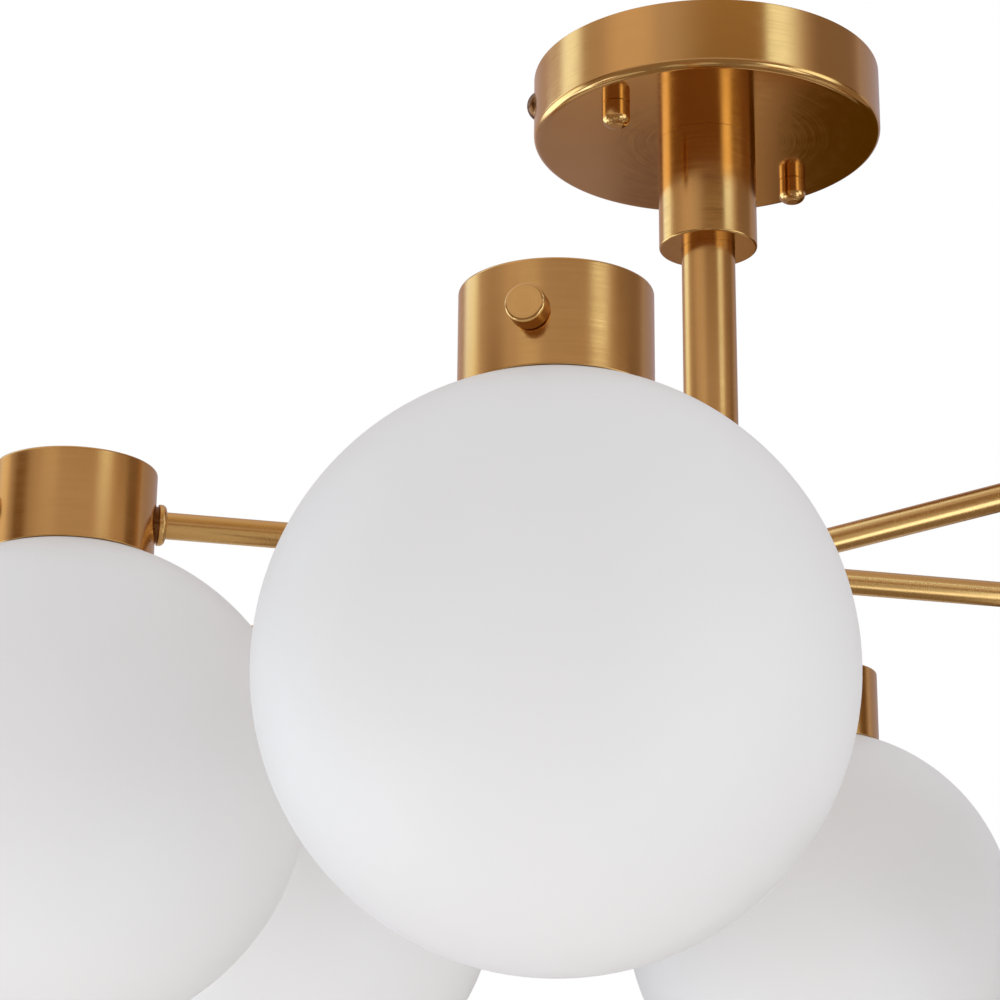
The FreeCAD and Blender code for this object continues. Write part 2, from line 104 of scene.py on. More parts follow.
class Turning(Enum):
    """How a turned piece is cut: steps round its axis, and the radius on which its marks are laid out."""

    CANOPY = (192, 0.050)
    GLOBE = (160, 0.070)
    CUP = (144, 0.030)
    HUB = (128, 0.030)
    COLLAR = (128, 0.020)
    STEM = (96, 0.012)
    BEAD = (72, 0.008)
    KNOB = (72, 0.006)
    NUT = (64, 0.006)
    BULB = (56, 0.008)
    ARM = (48, 0.006)
    PIN = (24, 0.002)


@dataclass(frozen=True)
class Corner:
    """Corner of a turned outline: its place and the radius of the arc that rounds it."""

    radius: float
    height: float
    bend: float = SLIGHT_BEND


@dataclass(frozen=True)
class Outline:
    """Sampled turned outline, walked with the material on its left.

    Args:
        points: Radius and height of each sample.
        normals: Outward direction at each sample.
        edge: 1 in the middle of a rounded corner or on the inside of glass, where a glow is painted, and 0
            elsewhere.
        closed: True where the last sample joins the first.
    """

    points: np.ndarray
    normals: np.ndarray
    edge: np.ndarray
    closed: bool

    def lengths(self) -> np.ndarray:
        """Distance of each sample along the outline."""
        steps = np.linalg.norm(np.diff(self.points, axis=0), axis=1)
        return np.concatenate(([0.0], np.cumsum(steps)))


@dataclass(frozen=True)
class Seat:
    """Where a piece's own axes lie: each row of axes is one of them in the part's frame."""

    origin: np.ndarray
    axes: np.ndarray

    def place(self, local: np.ndarray) -> np.ndarray:
        """Points in the part's frame, from points in the piece's own axes."""
        return local @ self.axes + self.origin

    def turn(self, local: np.ndarray) -> np.ndarray:
        """Directions in the part's frame, from directions in the piece's own axes."""
        return local @ self.axes


@dataclass
class Surface:
    """Grid of points whose columns run round an axis, ready for a mesh.

    Args:
        points: Grid of points, rows along the outline and columns round the axis.
        normals: Outward directions of the grid, or None to let the mesh work them out.
        brush: Coordinates for turning marks: two round the axis and one along the outline.
        edge: Mask of rounded edges, and of the inside of glass, where a glow is painted.
        closed: True where the last row joins the first.
        poles: Whether the first and the last row shrink to one point.
    """

    points: np.ndarray
    normals: np.ndarray | None
    brush: np.ndarray
    edge: np.ndarray
    closed: bool
    poles: tuple[bool, bool]


def upright(x: float = 0.0, y: float = 0.0, z: float = 0.0) -> Seat:
    """Seat of a piece that stands on a vertical axis."""
    return Seat(np.array([x, y, z]), np.eye(3))


def lying(angle: float, level: float) -> Seat:
    """Seat of a piece whose own third axis leaves the stem level.

    Args:
        angle: Direction of the axis in plan, in radians.
        level: Height of the axis.

    Returns:
        The seat.
    """
    cosine, sine = math.cos(angle), math.sin(angle)
    axes = np.array([[-sine, cosine, 0.0], [0.0, 0.0, 1.0], [cosine, sine, 0.0]])
    return Seat(np.array([0.0, 0.0, level]), axes)


def arc_samples(centre: np.ndarray, start: np.ndarray, end: np.ndarray, count: int) -> np.ndarray:
    """Unit directions from an arc's centre, evenly spaced from its start to its end.

    The directions follow a spherical blend: sin((1-t)w) and sin(tw) weigh the two end directions.

    Args:
        centre: Middle of the arc.
        start: First point of the arc.
        end: Last point of the arc.
        count: Number of steps.

    Returns:
        One direction for each sample.
    """
    first = (start - centre) / np.linalg.norm(start - centre)
    last = (end - centre) / np.linalg.norm(end - centre)
    swing = math.acos(float(np.clip(first @ last, -1.0, 1.0)))
    share = np.linspace(0.0, 1.0, count + 1)[:, None]
    return (np.sin((1.0 - share) * swing) * first + np.sin(share * swing) * last) / math.sin(swing)


def rounded_corner(before: np.ndarray, corner: Corner, after: np.ndarray) -> tuple[np.ndarray, ...]:
    """Arc that rounds one corner, tangent to both of its runs.

    With h half the angle between the runs, the arc leaves each run bend/tan(h) from the corner and
    its centre lies bend/sin(h) away on the bisector.

    Args:
        before: Corner before this one.
        corner: Corner to round.
        after: Corner after this one.

    Returns:
        Points, outward normals and edge mask of the arc's samples.
    """
    middle = np.array([corner.radius, corner.height])
    back = (before - middle) / np.linalg.norm(before - middle)
    ahead = (after - middle) / np.linalg.norm(after - middle)
    half = 0.5 * math.acos(float(np.clip(back @ ahead, -1.0, 1.0)))
    reach = corner.bend / math.tan(half)
    bisector = (back + ahead) / np.linalg.norm(back + ahead)
    centre = middle + bisector * corner.bend / math.sin(half)
    fewest, widest_step = 4, math.radians(11.0)
    count = max(fewest, math.ceil((math.pi - 2.0 * half) / widest_step))
    rays = arc_samples(centre, middle + back * reach, middle + ahead * reach, count)
    turn = back[1] * ahead[0] - back[0] * ahead[1]
    outward = rays if turn > 0.0 else -rays
    edge = np.sin(np.linspace(0.0, math.pi, count + 1))
    return centre + rays * corner.bend, outward, edge if turn > 0.0 else edge * 0.0


def trace(corners: Sequence[Corner], closed: bool) -> Outline:
    """Outline through corners, each rounded by its arc.

    Args:
        corners: Corners in order, with the material on the left of the walk.
        closed: True for a ring's section, False for an outline that starts and ends on the axis.

    Returns:
        The sampled outline.
    """
    places = np.array([[corner.radius, corner.height] for corner in corners])
    total = len(corners)
    inner = range(total) if closed else range(1, total - 1)
    parts = [rounded_corner(places[i - 1], corners[i], places[(i + 1) % total]) for i in inner]
    points, normals, edge = (np.concatenate([part[k] for part in parts]) for k in range(3))
    if closed:
        points, normals, edge = (np.concatenate((a, a[:1])) for a in (points, normals, edge))
    else:
        points = np.concatenate((places[:1], points, places[-1:]))
        normals = np.concatenate((normals[:1], normals, normals[-1:]))
        edge = np.concatenate(([0.0], edge, [0.0]))
    return Outline(points, normals, edge, closed)


def carry_round(section: np.ndarray, round_axis: np.ndarray) -> np.ndarray:
    """Carry radii and heights round an axis.

    Args:
        section: Radius and height of each row.
        round_axis: Cosine and sine of each step round the axis.

    Returns:
        Grid of points, or of directions.
    """
    flat = section[:, None, :1] * round_axis[None]
    high = np.broadcast_to(section[:, None, 1:], (*flat.shape[:2], 1))
    return np.concatenate([flat, high], axis=-1)


def revolve(outline: Outline, turning: Turning, seat: Seat) -> Surface:
    """Carry an outline round its axis: (r, h) goes to (r cos a, r sin a, h).

    Args:
        outline: Outline to carry round.
        turning: How finely the piece is cut and how its marks are laid out.
        seat: Where the axis lies.

    Returns:
        The turned surface with exact normals.
    """
    columns, brush_radius = turning.value
    points, normals, edge = outline.points, outline.normals, outline.edge
    lengths = outline.lengths()
    if outline.closed:
        points, normals, lengths, edge = (a[:-1] for a in (points, normals, lengths, edge))
    angle = np.linspace(0.0, FULL_TURN, columns, endpoint=False)
    round_axis = np.stack([np.cos(angle), np.sin(angle)], axis=-1)
    rows = len(points)
    ring = np.broadcast_to(round_axis[None] * brush_radius, (rows, columns, 2))
    along = np.broadcast_to(lengths[:, None, None], (rows, columns, 1))
    nearly_zero = 1e-9
    on_axis = points[:, 0] < nearly_zero
    return Surface(
        points=seat.place(carry_round(points, round_axis)),
        normals=seat.turn(carry_round(normals, round_axis)),
        brush=np.concatenate([ring, along], axis=-1),
        edge=np.broadcast_to(edge[:, None], (rows, columns)),
        closed=outline.closed,
        poles=(on_axis[0], on_axis[-1]),
    )


def grid_faces(rows: int, columns: int, closed: bool, poles: tuple[bool, bool]) -> tuple[np.ndarray, ...]:
    """Faces of a grid whose columns close on themselves.

    Args:
        rows: Rows of the grid.
        columns: Columns of the grid.
        closed: True where the last row joins the first.
        poles: Whether the first and the last row are one point each.

    Returns:
        Grid positions that are kept as vertices, four-cornered faces and three-cornered faces.
    """
    single = np.zeros(rows, bool)
    single[0], single[-1] = poles
    counts = np.where(single, 1, columns)
    starts = np.concatenate(([0], np.cumsum(counts)[:-1]))
    column = np.arange(columns)
    index = starts[:, None] + np.where(single[:, None], 0, column[None])
    kept = np.where(single[:, None], column[None] == 0, True)
    low = index if closed else index[:-1]
    high = np.roll(index, -1, axis=0) if closed else index[1:]
    low_next, high_next = np.roll(low, -1, axis=1), np.roll(high, -1, axis=1)
    quads = np.stack([low, low_next, high_next, high], axis=-1)
    whole = np.ones(len(low), bool)
    fans = []
    if poles[0]:
        whole[0] = False
        fans.append(quads[0][:, [0, 2, 3]])
    if poles[1]:
        whole[-1] = False
        fans.append(quads[-1][:, [0, 1, 2]])
    triangles = np.concatenate(fans) if fans else np.empty((0, 3), int)
    return kept, quads[whole].reshape(-1, 4), triangles


def surface_mesh(name: str, surfaces: Sequence[Surface]) -> bpy.types.Mesh:
    """Mesh of one or more surfaces, with their brush and edge attributes.

    Args:
        name: Name of the mesh.
        surfaces: Surfaces that become islands of the mesh.

    Returns:
        The finished mesh.
    """
    points, normals, brush, edge, quads, triangles = [], [], [], [], [], []
    offset = 0
    for surface in surfaces:
        rows, columns = surface.points.shape[:2]
        kept, four, three = grid_faces(rows, columns, surface.closed, surface.poles)
        points.append(surface.points[kept])
        brush.append(surface.brush[kept])
        edge.append(surface.edge[kept])
        if surface.normals is not None:
            normals.append(surface.normals[kept])
        quads.append(four + offset)
        triangles.append(three + offset)
        offset += int(kept.sum())
    four_sided, three_sided = np.concatenate(quads), np.concatenate(triangles)
    corners = np.concatenate([four_sided.ravel(), three_sided.ravel()])
    starts = np.concatenate([np.arange(len(four_sided)) * 4,
                             four_sided.size + np.arange(len(three_sided)) * 3])
    mesh = bpy.data.meshes.new(name)
    mesh.vertices.add(offset)
    mesh.vertices.foreach_set("co", np.concatenate(points).astype(np.float32).ravel())
    mesh.loops.add(len(corners))
    mesh.loops.foreach_set("vertex_index", corners.astype(np.int32))
    mesh.polygons.add(len(starts))
    mesh.polygons.foreach_set("loop_start", starts.astype(np.int32))
    mesh.update(calc_edges=True)
    marks = mesh.attributes.new("brush", "FLOAT_VECTOR", "POINT")
    marks.data.foreach_set("vector", np.concatenate(brush).astype(np.float32).ravel())
    worn = mesh.attributes.new("edge", "FLOAT", "POINT")
    worn.data.foreach_set("value", np.concatenate(edge).astype(np.float32))
    mesh.polygons.foreach_set("use_smooth", np.ones(len(starts), bool))
    if normals:
        mesh.normals_split_custom_set_from_vertices(np.concatenate(normals).tolist())
    return mesh


class Graph:
    """Short calls for adding and joining the nodes of one tree."""

    def __init__(self, tree: bpy.types.NodeTree) -> None:
        """Start from an empty tree."""
        self.tree = tree
        tree.nodes.clear()

    def node(self, kind: str, **settings: object) -> bpy.types.Node:
        """Add a node and set its properties.

        Args:
            kind: Node type.
            **settings: Properties of the node.

        Returns:
            The new node.
        """
        made = self.tree.nodes.new(kind)
        for key, value in settings.items():
            setattr(made, key, value)
        return made

    def feed(self, socket: bpy.types.NodeSocket, source: object) -> None:
        """Join a source socket to an input, or set the input to a plain value.

        Args:
            socket: Input to fill.
            source: Socket or plain value.
        """
        if isinstance(source, bpy.types.NodeSocket):
            self.tree.links.new(source, socket)
        else:
            socket.default_value = source

    def math(self, operation: str, *values: object) -> bpy.types.NodeSocket:
        """Add an arithmetic node.

        Args:
            operation: What it works out.
            *values: Sockets or plain values that it takes.

        Returns:
            Its result.
        """
        made = self.node("ShaderNodeMath", operation=operation)
        for socket, value in zip(made.inputs, values):
            self.feed(socket, value)
        return made.outputs[0]

    def spread(self, value: object, low: float, high: float, start: float = 0.3,
               stop: float = 0.7) -> bpy.types.NodeSocket:
        """Carry a value from one range over to another, and keep it inside.

        Args:
            value: Socket or plain value.
            low: Result at the start.
            high: Result at the stop.
            start: First end of the value's range.
            stop: Other end of the value's range.

        Returns:
            The carried value.
        """
        made = self.node("ShaderNodeMapRange")
        for socket, source in zip(made.inputs, (value, start, stop, low, high)):
            self.feed(socket, source)
        return made.outputs[0]

    def tint(self, share: object, first: object, second: object) -> bpy.types.NodeSocket:
        """Blend two colours.

        Args:
            share: Share of the second colour.
            first: Colour at a share of 0.
            second: Colour at a share of 1.

        Returns:
            The blended colour.
        """
        made = self.node("ShaderNodeMix", data_type="RGBA")
        self.feed(made.inputs[0], share)
        self.feed(made.inputs[6], first)
        self.feed(made.inputs[7], second)
        return made.outputs[2]

    def noise(self, vector: object, scale: object, detail: float) -> bpy.types.NodeSocket:
        """Add a grey noise.

        Args:
            vector: Where it is read.
            scale: Its frequency.
            detail: How many finer layers it has.

        Returns:
            The noise, mostly from 0.3 to 0.7.
        """
        made = self.node("ShaderNodeTexNoise")
        self.feed(made.inputs["Vector"], vector)
        self.feed(made.inputs["Scale"], scale)
        made.inputs["Detail"].default_value = detail
        return made.outputs["Fac"]

    def effect(self, effect: Effect, **values: object) -> Sockets:
        """Place a shared effect.

        Args:
            effect: Which shared group.
            **values: Sockets or plain values for the group's inputs.

        Returns:
            The group's outputs by name.
        """
        made = self.node("ShaderNodeGroup", node_tree=shared_group(effect))
        for key, value in values.items():
            self.feed(made.inputs[key], value)
        return {socket.name: socket for socket in made.outputs}


def fill_brush_lines(graph: Graph, given: Sockets) -> Sockets:
    """Turning marks: noise drawn out round the axis and tight along the outline.

    Args:
        graph: Tree of the group.
        given: The group's inputs.

    Returns:
        Fine lines and broad bands.
    """
    frequency = graph.node("ShaderNodeCombineXYZ")
    for socket, name in zip(frequency.inputs, ("Along", "Along", "Across")):
        graph.feed(socket, given[name])
    drawn = graph.node("ShaderNodeVectorMath", operation="MULTIPLY")
    graph.feed(drawn.inputs[0], given["Marks"])
    graph.feed(drawn.inputs[1], frequency.outputs[0])
    return {"Lines": graph.noise(drawn.outputs[0], scale=1.0, detail=3.0),
            "Bands": graph.noise(drawn.outputs[0], scale=0.07, detail=2.0)}


def fill_cloud_mottle(graph: Graph, given: Sockets) -> Sockets:
    """Soft patches at a broad scale and a grain some times finer.

    Args:
        graph: Tree of the group.
        given: The group's inputs.

    Returns:
        Broad patches and the fine grain.
    """
    times_finer = 9.0
    fine_scale = graph.math("MULTIPLY", given["Scale"], times_finer)
    return {"Broad": graph.noise(given["Place"], given["Scale"], detail=4.0),
            "Fine": graph.noise(given["Place"], fine_scale, detail=3.0)}


def fill_edge_wear(graph: Graph, given: Sockets) -> Sockets:
    """Rubbed edges: the edge mask times a broken noise.

    Args:
        graph: Tree of the group.
        given: The group's inputs.

    Returns:
        How far the edge is rubbed.
    """
    grain = graph.noise(given["Place"], given["Scale"], detail=4.0)
    broken = graph.spread(grain, low=0.35, high=1.0, start=0.35, stop=0.6)
    return {"Worn": graph.math("MULTIPLY", given["Edge"], broken)}


@dataclass(frozen=True)
class GroupPlan:
    """Sockets of a shared group and the function that fills it."""

    inputs: dict[str, str]
    outputs: tuple[str, ...]
    fill: Callable[[Graph, Sockets], Sockets]


GROUP_PLANS = {
    Effect.BRUSH: GroupPlan({"Marks": "NodeSocketVector", "Along": "NodeSocketFloat",
                             "Across": "NodeSocketFloat"}, ("Lines", "Bands"), fill_brush_lines),
    Effect.CLOUD: GroupPlan({"Place": "NodeSocketVector", "Scale": "NodeSocketFloat"},
                            ("Broad", "Fine"), fill_cloud_mottle),
    Effect.WEAR: GroupPlan({"Place": "NodeSocketVector", "Edge": "NodeSocketFloat",
                            "Scale": "NodeSocketFloat"}, ("Worn",), fill_edge_wear),
}


def shared_group(effect: Effect) -> bpy.types.NodeTree:
    """Shared node group of an effect, built on first use.

    Args:
        effect: Which effect.

    Returns:
        The node group.
    """
    found = bpy.data.node_groups.get(effect.value)
    if found is not None:
        return found
    plan = GROUP_PLANS[effect]
    made = bpy.data.node_groups.new(effect.value, "ShaderNodeTree")
    for name, kind in plan.inputs.items():
        made.interface.new_socket(name, in_out="INPUT", socket_type=kind)
    for name in plan.outputs:
        made.interface.new_socket(name, in_out="OUTPUT", socket_type="NodeSocketFloat")
    graph = Graph(made)
    entry = graph.node("NodeGroupInput")
    leave = graph.node("NodeGroupOutput")
    results = plan.fill(graph, {name: entry.outputs[name] for name in plan.inputs})
    for name, socket in results.items():
        graph.feed(leave.inputs[name], socket)
    return made


@dataclass(frozen=True)
class Finish:
    """A surface finish that builds its material once.

    Args:
        name: Name of the material.
        slot: The record's slot that it stands for, or None on the stage; not used by this script.
    """

    name: str
    slot: Slot | None

    def material(self) -> bpy.types.Material:
        """Build the finish's material on first use.

        Returns:
            The material.
        """
        found = bpy.data.materials.get(self.name)
        if found is None:
            found = bpy.data.materials.new(self.name)
            found.use_nodes = True
            graph = Graph(found.node_tree)
            shader = graph.node("ShaderNodeBsdfPrincipled")
            output = graph.node("ShaderNodeOutputMaterial")
            graph.feed(output.inputs["Surface"], shader.outputs["BSDF"])
            self.dress(graph, shader)
        return found

    def dress(self, graph: Graph, shader: bpy.types.Node) -> None:
        """Join the finish's nodes to its shader.

        Args:
            graph: Tree of the material.
            shader: Its one shader.
        """
        raise NotImplementedError


def opaque(colour: Colour) -> tuple[float, float, float, float]:
    """Colour with full alpha, as colour sockets take it."""
    return (*colour, 1.0)


def object_place(graph: Graph) -> bpy.types.NodeSocket:
    """Place on the piece, in its object's own axes."""
    return graph.node("ShaderNodeTexCoord").outputs["Object"]


def bump(graph: Graph, shader: bpy.types.Node, height: object, depth: float, strength: float = 1.0) -> None:
    """Let a height roughen the shader's normals.

    Args:
        graph: Tree of the material.
        shader: Shader whose normals change.
        height: Height as a value from 0 to 1.
        depth: Real depth of a height of 1.
        strength: Share of the effect.
    """
    made = graph.node("ShaderNodeBump")
    made.inputs["Strength"].default_value = strength
    made.inputs["Distance"].default_value = depth
    graph.feed(made.inputs["Height"], height)
    graph.feed(shader.inputs["Normal"], made.outputs[0])


@dataclass(frozen=True)
class TurnedBrass(Finish):
    """Lacquered satin brass with fine turning marks and rubbed edges."""

    body: Colour = (0.640, 0.365, 0.125)
    deep: Colour = (0.600, 0.330, 0.105)
    rubbed: Colour = (0.710, 0.440, 0.175)
    smooth: float = 0.155
    rough: float = 0.225
    mark_length: float = 0.030
    mark_spacing: float = 0.00045
    mark_depth: float = 0.0000035
    cloud_scale: float = 22.0
    wear_scale: float = 160.0
    band_share: float = 0.22
    rubbed_share: float = 0.6
    haze: tuple[float, float] = (-0.012, 0.018)
    polish: float = -0.035

    def dress(self, graph: Graph, shader: bpy.types.Node) -> None:
        """Marks drive roughness and relief, clouds the colour, and edges shine more.

        Args:
            graph: Tree of the material.
            shader: Its one shader.
        """
        place = object_place(graph)
        marks = graph.node("ShaderNodeAttribute", attribute_name="brush").outputs["Vector"]
        edge = graph.node("ShaderNodeAttribute", attribute_name="edge").outputs["Fac"]
        lines = graph.effect(Effect.BRUSH, Marks=marks, Along=1.0 / self.mark_length,
                             Across=1.0 / self.mark_spacing)
        cloud = graph.effect(Effect.CLOUD, Place=place, Scale=self.cloud_scale)
        worn = graph.effect(Effect.WEAR, Place=place, Edge=edge, Scale=self.wear_scale)["Worn"]
        toned = graph.tint(graph.spread(cloud["Broad"], 0.0, 1.0), opaque(self.body), opaque(self.deep))
        banded = graph.tint(graph.spread(lines["Bands"], 0.0, self.band_share), toned, opaque(self.deep))
        graph.feed(shader.inputs["Base Color"],
                   graph.tint(graph.math("MULTIPLY", worn, self.rubbed_share), banded, opaque(self.rubbed)))
        grain = graph.spread(lines["Lines"], self.smooth, self.rough)
        haze = graph.spread(cloud["Fine"], *self.haze)
        polish = graph.math("MULTIPLY", worn, self.polish)
        graph.feed(shader.inputs["Roughness"], graph.math("ADD", graph.math("ADD", grain, haze), polish))
        shader.inputs["Metallic"].default_value = 1.0
        bump(graph, shader, lines["Lines"], self.mark_depth)


@dataclass(frozen=True)
class SpunBrass(TurnedBrass):
    """Turned brass whose flat lower face is burnished finer than its wall."""

    smooth: float = 0.125
    rough: float = 0.195
    mark_depth: float = 0.0000014
    face_level: float = 0.0
    face_margin: float = 0.0006
    burnish: float = 0.060

    def dress(self, graph: Graph, shader: bpy.types.Node) -> None:
        """Take the burnish off the wall's roughness near the level of the face.

        Args:
            graph: Tree of the material.
            shader: Its one shader.
        """
        super().dress(graph, shader)
        wall_rough = shader.inputs["Roughness"].links[0].from_socket
        split = graph.node("ShaderNodeSeparateXYZ")
        graph.feed(split.inputs[0], object_place(graph))
        face = graph.spread(split.outputs["Z"], 1.0, 0.0, self.face_level,
                            self.face_level + self.face_margin)
        graph.feed(shader.inputs["Roughness"],
                   graph.math("SUBTRACT", wall_rough, graph.math("MULTIPLY", face, self.burnish)))


@dataclass(frozen=True)
class OpalGlass(Finish):
    """Satin opal glass: milky white with a faint drift of tone, and a painted glow on its inner face in
    place of light that comes through.
    """

    milk: Colour = (0.818, 0.815, 0.820)
    thin: Colour = (0.798, 0.789, 0.795)
    unlit: Colour = (0.0, 0.0, 0.0)
    painted_glow: Colour = (0.160, 0.159, 0.160)
    gloss: tuple[float, float] = (0.46, 0.54)
    scale: float = 14.0
    refraction: float = 1.48
    sheen_level: float = 0.35
    ripple_depth: float = 0.00015
    ripple_share: float = 0.4

    def material(self) -> bpy.types.Material:
        """Build the finish's material, whose painted inner glow isn't sampled as a lamp.

        Returns:
            The material.
        """
        made = super().material()
        made.cycles.emission_sampling = "NONE"
        return made

    def dress(self, graph: Graph, shader: bpy.types.Node) -> None:
        """Broad clouds drift the tone, a fine grain sets the etched gloss, and the inner face gets a painted
        glow.

        Args:
            graph: Tree of the material.
            shader: Its one shader.
        """
        cloud = graph.effect(Effect.CLOUD, Place=object_place(graph), Scale=self.scale)
        graph.feed(shader.inputs["Base Color"],
                   graph.tint(graph.spread(cloud["Broad"], 0.0, 1.0), opaque(self.milk), opaque(self.thin)))
        graph.feed(shader.inputs["Roughness"], graph.spread(cloud["Fine"], *self.gloss))
        shader.inputs["IOR"].default_value = self.refraction
        shader.inputs["Specular IOR Level"].default_value = self.sheen_level
        # Painted glow: the inner face of the glass emits a faint light in place of light coming through it.
        inside = graph.node("ShaderNodeAttribute", attribute_name="edge").outputs["Fac"]
        graph.feed(shader.inputs["Emission Color"],
                   graph.tint(inside, opaque(self.unlit), opaque(self.painted_glow)))
        shader.inputs["Emission Strength"].default_value = 1.0
        bump(graph, shader, cloud["Broad"], self.ripple_depth, self.ripple_share)


@dataclass(frozen=True)
class ZincSteel(Finish):
    """Bright zinc on steel, with spangled patches and a few duller ones."""

    bright: Colour = (0.62, 0.63, 0.64)
    dull: Colour = (0.45, 0.46, 0.48)
    scale: float = 90.0
    gloss: tuple[float, float] = (0.24, 0.38)
    grain: float = 0.03
    relief: float = 0.00001

    def dress(self, graph: Graph, shader: bpy.types.Node) -> None:
        """Patches change colour and gloss together.

        Args:
            graph: Tree of the material.
            shader: Its one shader.
        """
        cloud = graph.effect(Effect.CLOUD, Place=object_place(graph), Scale=self.scale)
        patch = graph.spread(cloud["Broad"], 0.0, 1.0)
        graph.feed(shader.inputs["Base Color"], graph.tint(patch, opaque(self.bright), opaque(self.dull)))
        graph.feed(shader.inputs["Roughness"],
                   graph.math("ADD", graph.spread(patch, *self.gloss, 0.0, 1.0),
                              graph.spread(cloud["Fine"], -self.grain, self.grain)))
        shader.inputs["Metallic"].default_value = 1.0
        bump(graph, shader, cloud["Fine"], self.relief)


@dataclass(frozen=True)
class Mottled(Finish):
    """Non-metal finish with a drift of tone, specks and a grain in its gloss."""

    body: Colour = (0.8, 0.8, 0.8)
    drift: Colour = (0.7, 0.7, 0.7)
    gloss: tuple[float, float] = (0.3, 0.5)
    scale: float = 120.0
    relief: float = 0.00002
    transmission: float = 0.0

    def dress(self, graph: Graph, shader: bpy.types.Node) -> None:
        """Clouds drift the colour, the fine grain sets roughness and relief.

        Args:
            graph: Tree of the material.
            shader: Its one shader.
        """
        cloud = graph.effect(Effect.CLOUD, Place=object_place(graph), Scale=self.scale)
        graph.feed(shader.inputs["Base Color"],
                   graph.tint(graph.spread(cloud["Broad"], 0.0, 1.0), opaque(self.body), opaque(self.drift)))
        graph.feed(shader.inputs["Roughness"], graph.spread(cloud["Fine"], *self.gloss))
        shader.inputs["Transmission Weight"].default_value = self.transmission
        bump(graph, shader, cloud["Fine"], self.relief)


BRASS = TurnedBrass("turned_satin_brass", Slot.BRASS)
DRAWN = TurnedBrass("drawn_satin_brass", Slot.BRASS, body=(0.690, 0.415, 0.150), deep=(0.655, 0.380, 0.130),
                    smooth=0.235, rough=0.275, mark_depth=0.0000003)
PIPE = TurnedBrass("drawn_pipe_brass", Slot.BRASS, smooth=0.195, rough=0.235, mark_depth=0.0000005)
# Dark brass: the side screw's dark head, and on the rosette washers painted shade in the slot between bead
# and cup.
DARK_BRASS_AND_SLOT_SHADE = TurnedBrass("dark_brass_and_slot_shade", Slot.BRASS, body=(0.190, 0.078, 0.024), deep=(0.115, 0.042, 0.012),
                      rubbed=(0.420, 0.240, 0.100))
OPAL = OpalGlass("satin_opal_glass", Slot.OPAL)
STEEL = ZincSteel("bright_zinc_steel", Slot.STEEL)
CERAMIC = Mottled("fired_lamp_ceramic", Slot.CERAMIC, body=(0.80, 0.77, 0.71), drift=(0.72, 0.68, 0.61),
                  gloss=(0.28, 0.5))
FROSTED = Mottled("frosted_capsule_glass", Slot.BULB, body=(0.90, 0.90, 0.88), drift=(0.86, 0.86, 0.85),
                  gloss=(0.32, 0.42), scale=200.0, relief=0.00001, transmission=0.55)
PLASTIC = Mottled("ivory_moulded_nylon", Slot.PLASTIC, body=(0.74, 0.70, 0.60), drift=(0.69, 0.64, 0.53),
                  gloss=(0.36, 0.5))
EARTH = Mottled("green_painted_head", Slot.EARTH, body=(0.05, 0.23, 0.08), drift=(0.035, 0.17, 0.06),
                gloss=(0.3, 0.46))


def dress_piece(name: str, surfaces: Sequence[Surface], finish: Finish, node: str,
                body: str = FIXTURE) -> None:
    """Make a finished piece that rides on a body and stands for a CAD node.

    Args:
        name: Name of the piece.
        surfaces: Surfaces of its mesh.
        finish: Finish of the piece.
        node: CAD node that it replaces.
        body: Body that it moves with.
    """
    mesh = surface_mesh(name, surfaces)
    mesh.materials.append(finish.material())
    piece = bpy.data.objects.new(name, mesh)
    bpy.context.scene.collection.objects.link(piece)
    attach(piece, body)
    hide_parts(node)
    LOG.info("%s: %d faces on %s", name, len(mesh.polygons), body)


def turned_piece(name: str, outline: Outline, turning: Turning, seat: Seat, finish: Finish, node: str,
                 body: str = FIXTURE) -> None:
    """Make a finished piece of one turned surface.

    Args:
        name: Name of the piece.
        outline: Outline to carry round.
        turning: How the piece is cut.
        seat: Where its axis lies.
        finish: Finish of the piece.
        node: CAD node that it replaces.
        body: Body that it moves with.
    """
    dress_piece(name, [revolve(outline, turning, seat)], finish, node, body)


@dataclass(frozen=True)
class NodeSize:
    """Box of a CAD node, as its middle in plan, its half width and its two levels."""

    x: float
    y: float
    half: float
    low: float
    high: float

    @classmethod
    def of(cls, node: str) -> "NodeSize":
        """Read the box of a CAD node."""
        low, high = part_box(node)
        return cls((low.x + high.x) / 2, (low.y + high.y) / 2, (high.x - low.x) / 2, low.z, high.z)

    def lying_radius(self) -> float:
        """Radius of a round piece that lies level."""
        return (self.high - self.low) / 2

    def lying_level(self) -> float:
        """Height of the axis of a round piece that lies level."""
        return (self.low + self.high) / 2


def reach_along(mesh: bpy.types.Mesh, direction: np.ndarray) -> tuple[float, float]:
    """Measure a CAD node's mesh along a direction.

    Args:
        mesh: Mesh of the node.
        direction: Unit direction.

    Returns:
        Lowest and highest reach.
    """
    flat = np.empty(len(mesh.vertices) * 3, np.float32)
    mesh.vertices.foreach_get("co", flat)
    reach = flat.reshape(-1, 3) @ direction
    return float(reach.min()), float(reach.max())


def dish_outline(radius: float, rim: float, base: float, wall: float, bend: float, hole: float,
                 lip: float = RIM_BEND) -> Outline:
    """Section of a spun dish: a wall from its rim to a flat base, with a bend of even thickness.

    Args:
        radius: Outer radius.
        rim: Level of the open rim.
        base: Level of the outer face of the base.
        wall: Thickness of the sheet.
        bend: Outer radius of the bend between wall and base.
        hole: Radius of the hole in the base, or 0 for none.
        lip: Rounding of the rim and the hole.

    Returns:
        The outline, closed on itself where there is a hole.
    """
    inside = base + wall if rim > base else base - wall
    corners = [Corner(hole, base, lip), Corner(radius, base, bend), Corner(radius, rim, lip),
               Corner(radius - wall, rim, lip), Corner(radius - wall, inside, max(bend - wall, lip)),
               Corner(hole, inside, lip)]
    if rim < base:
        corners.reverse()
    return trace(corners, closed=hole > 0.0)


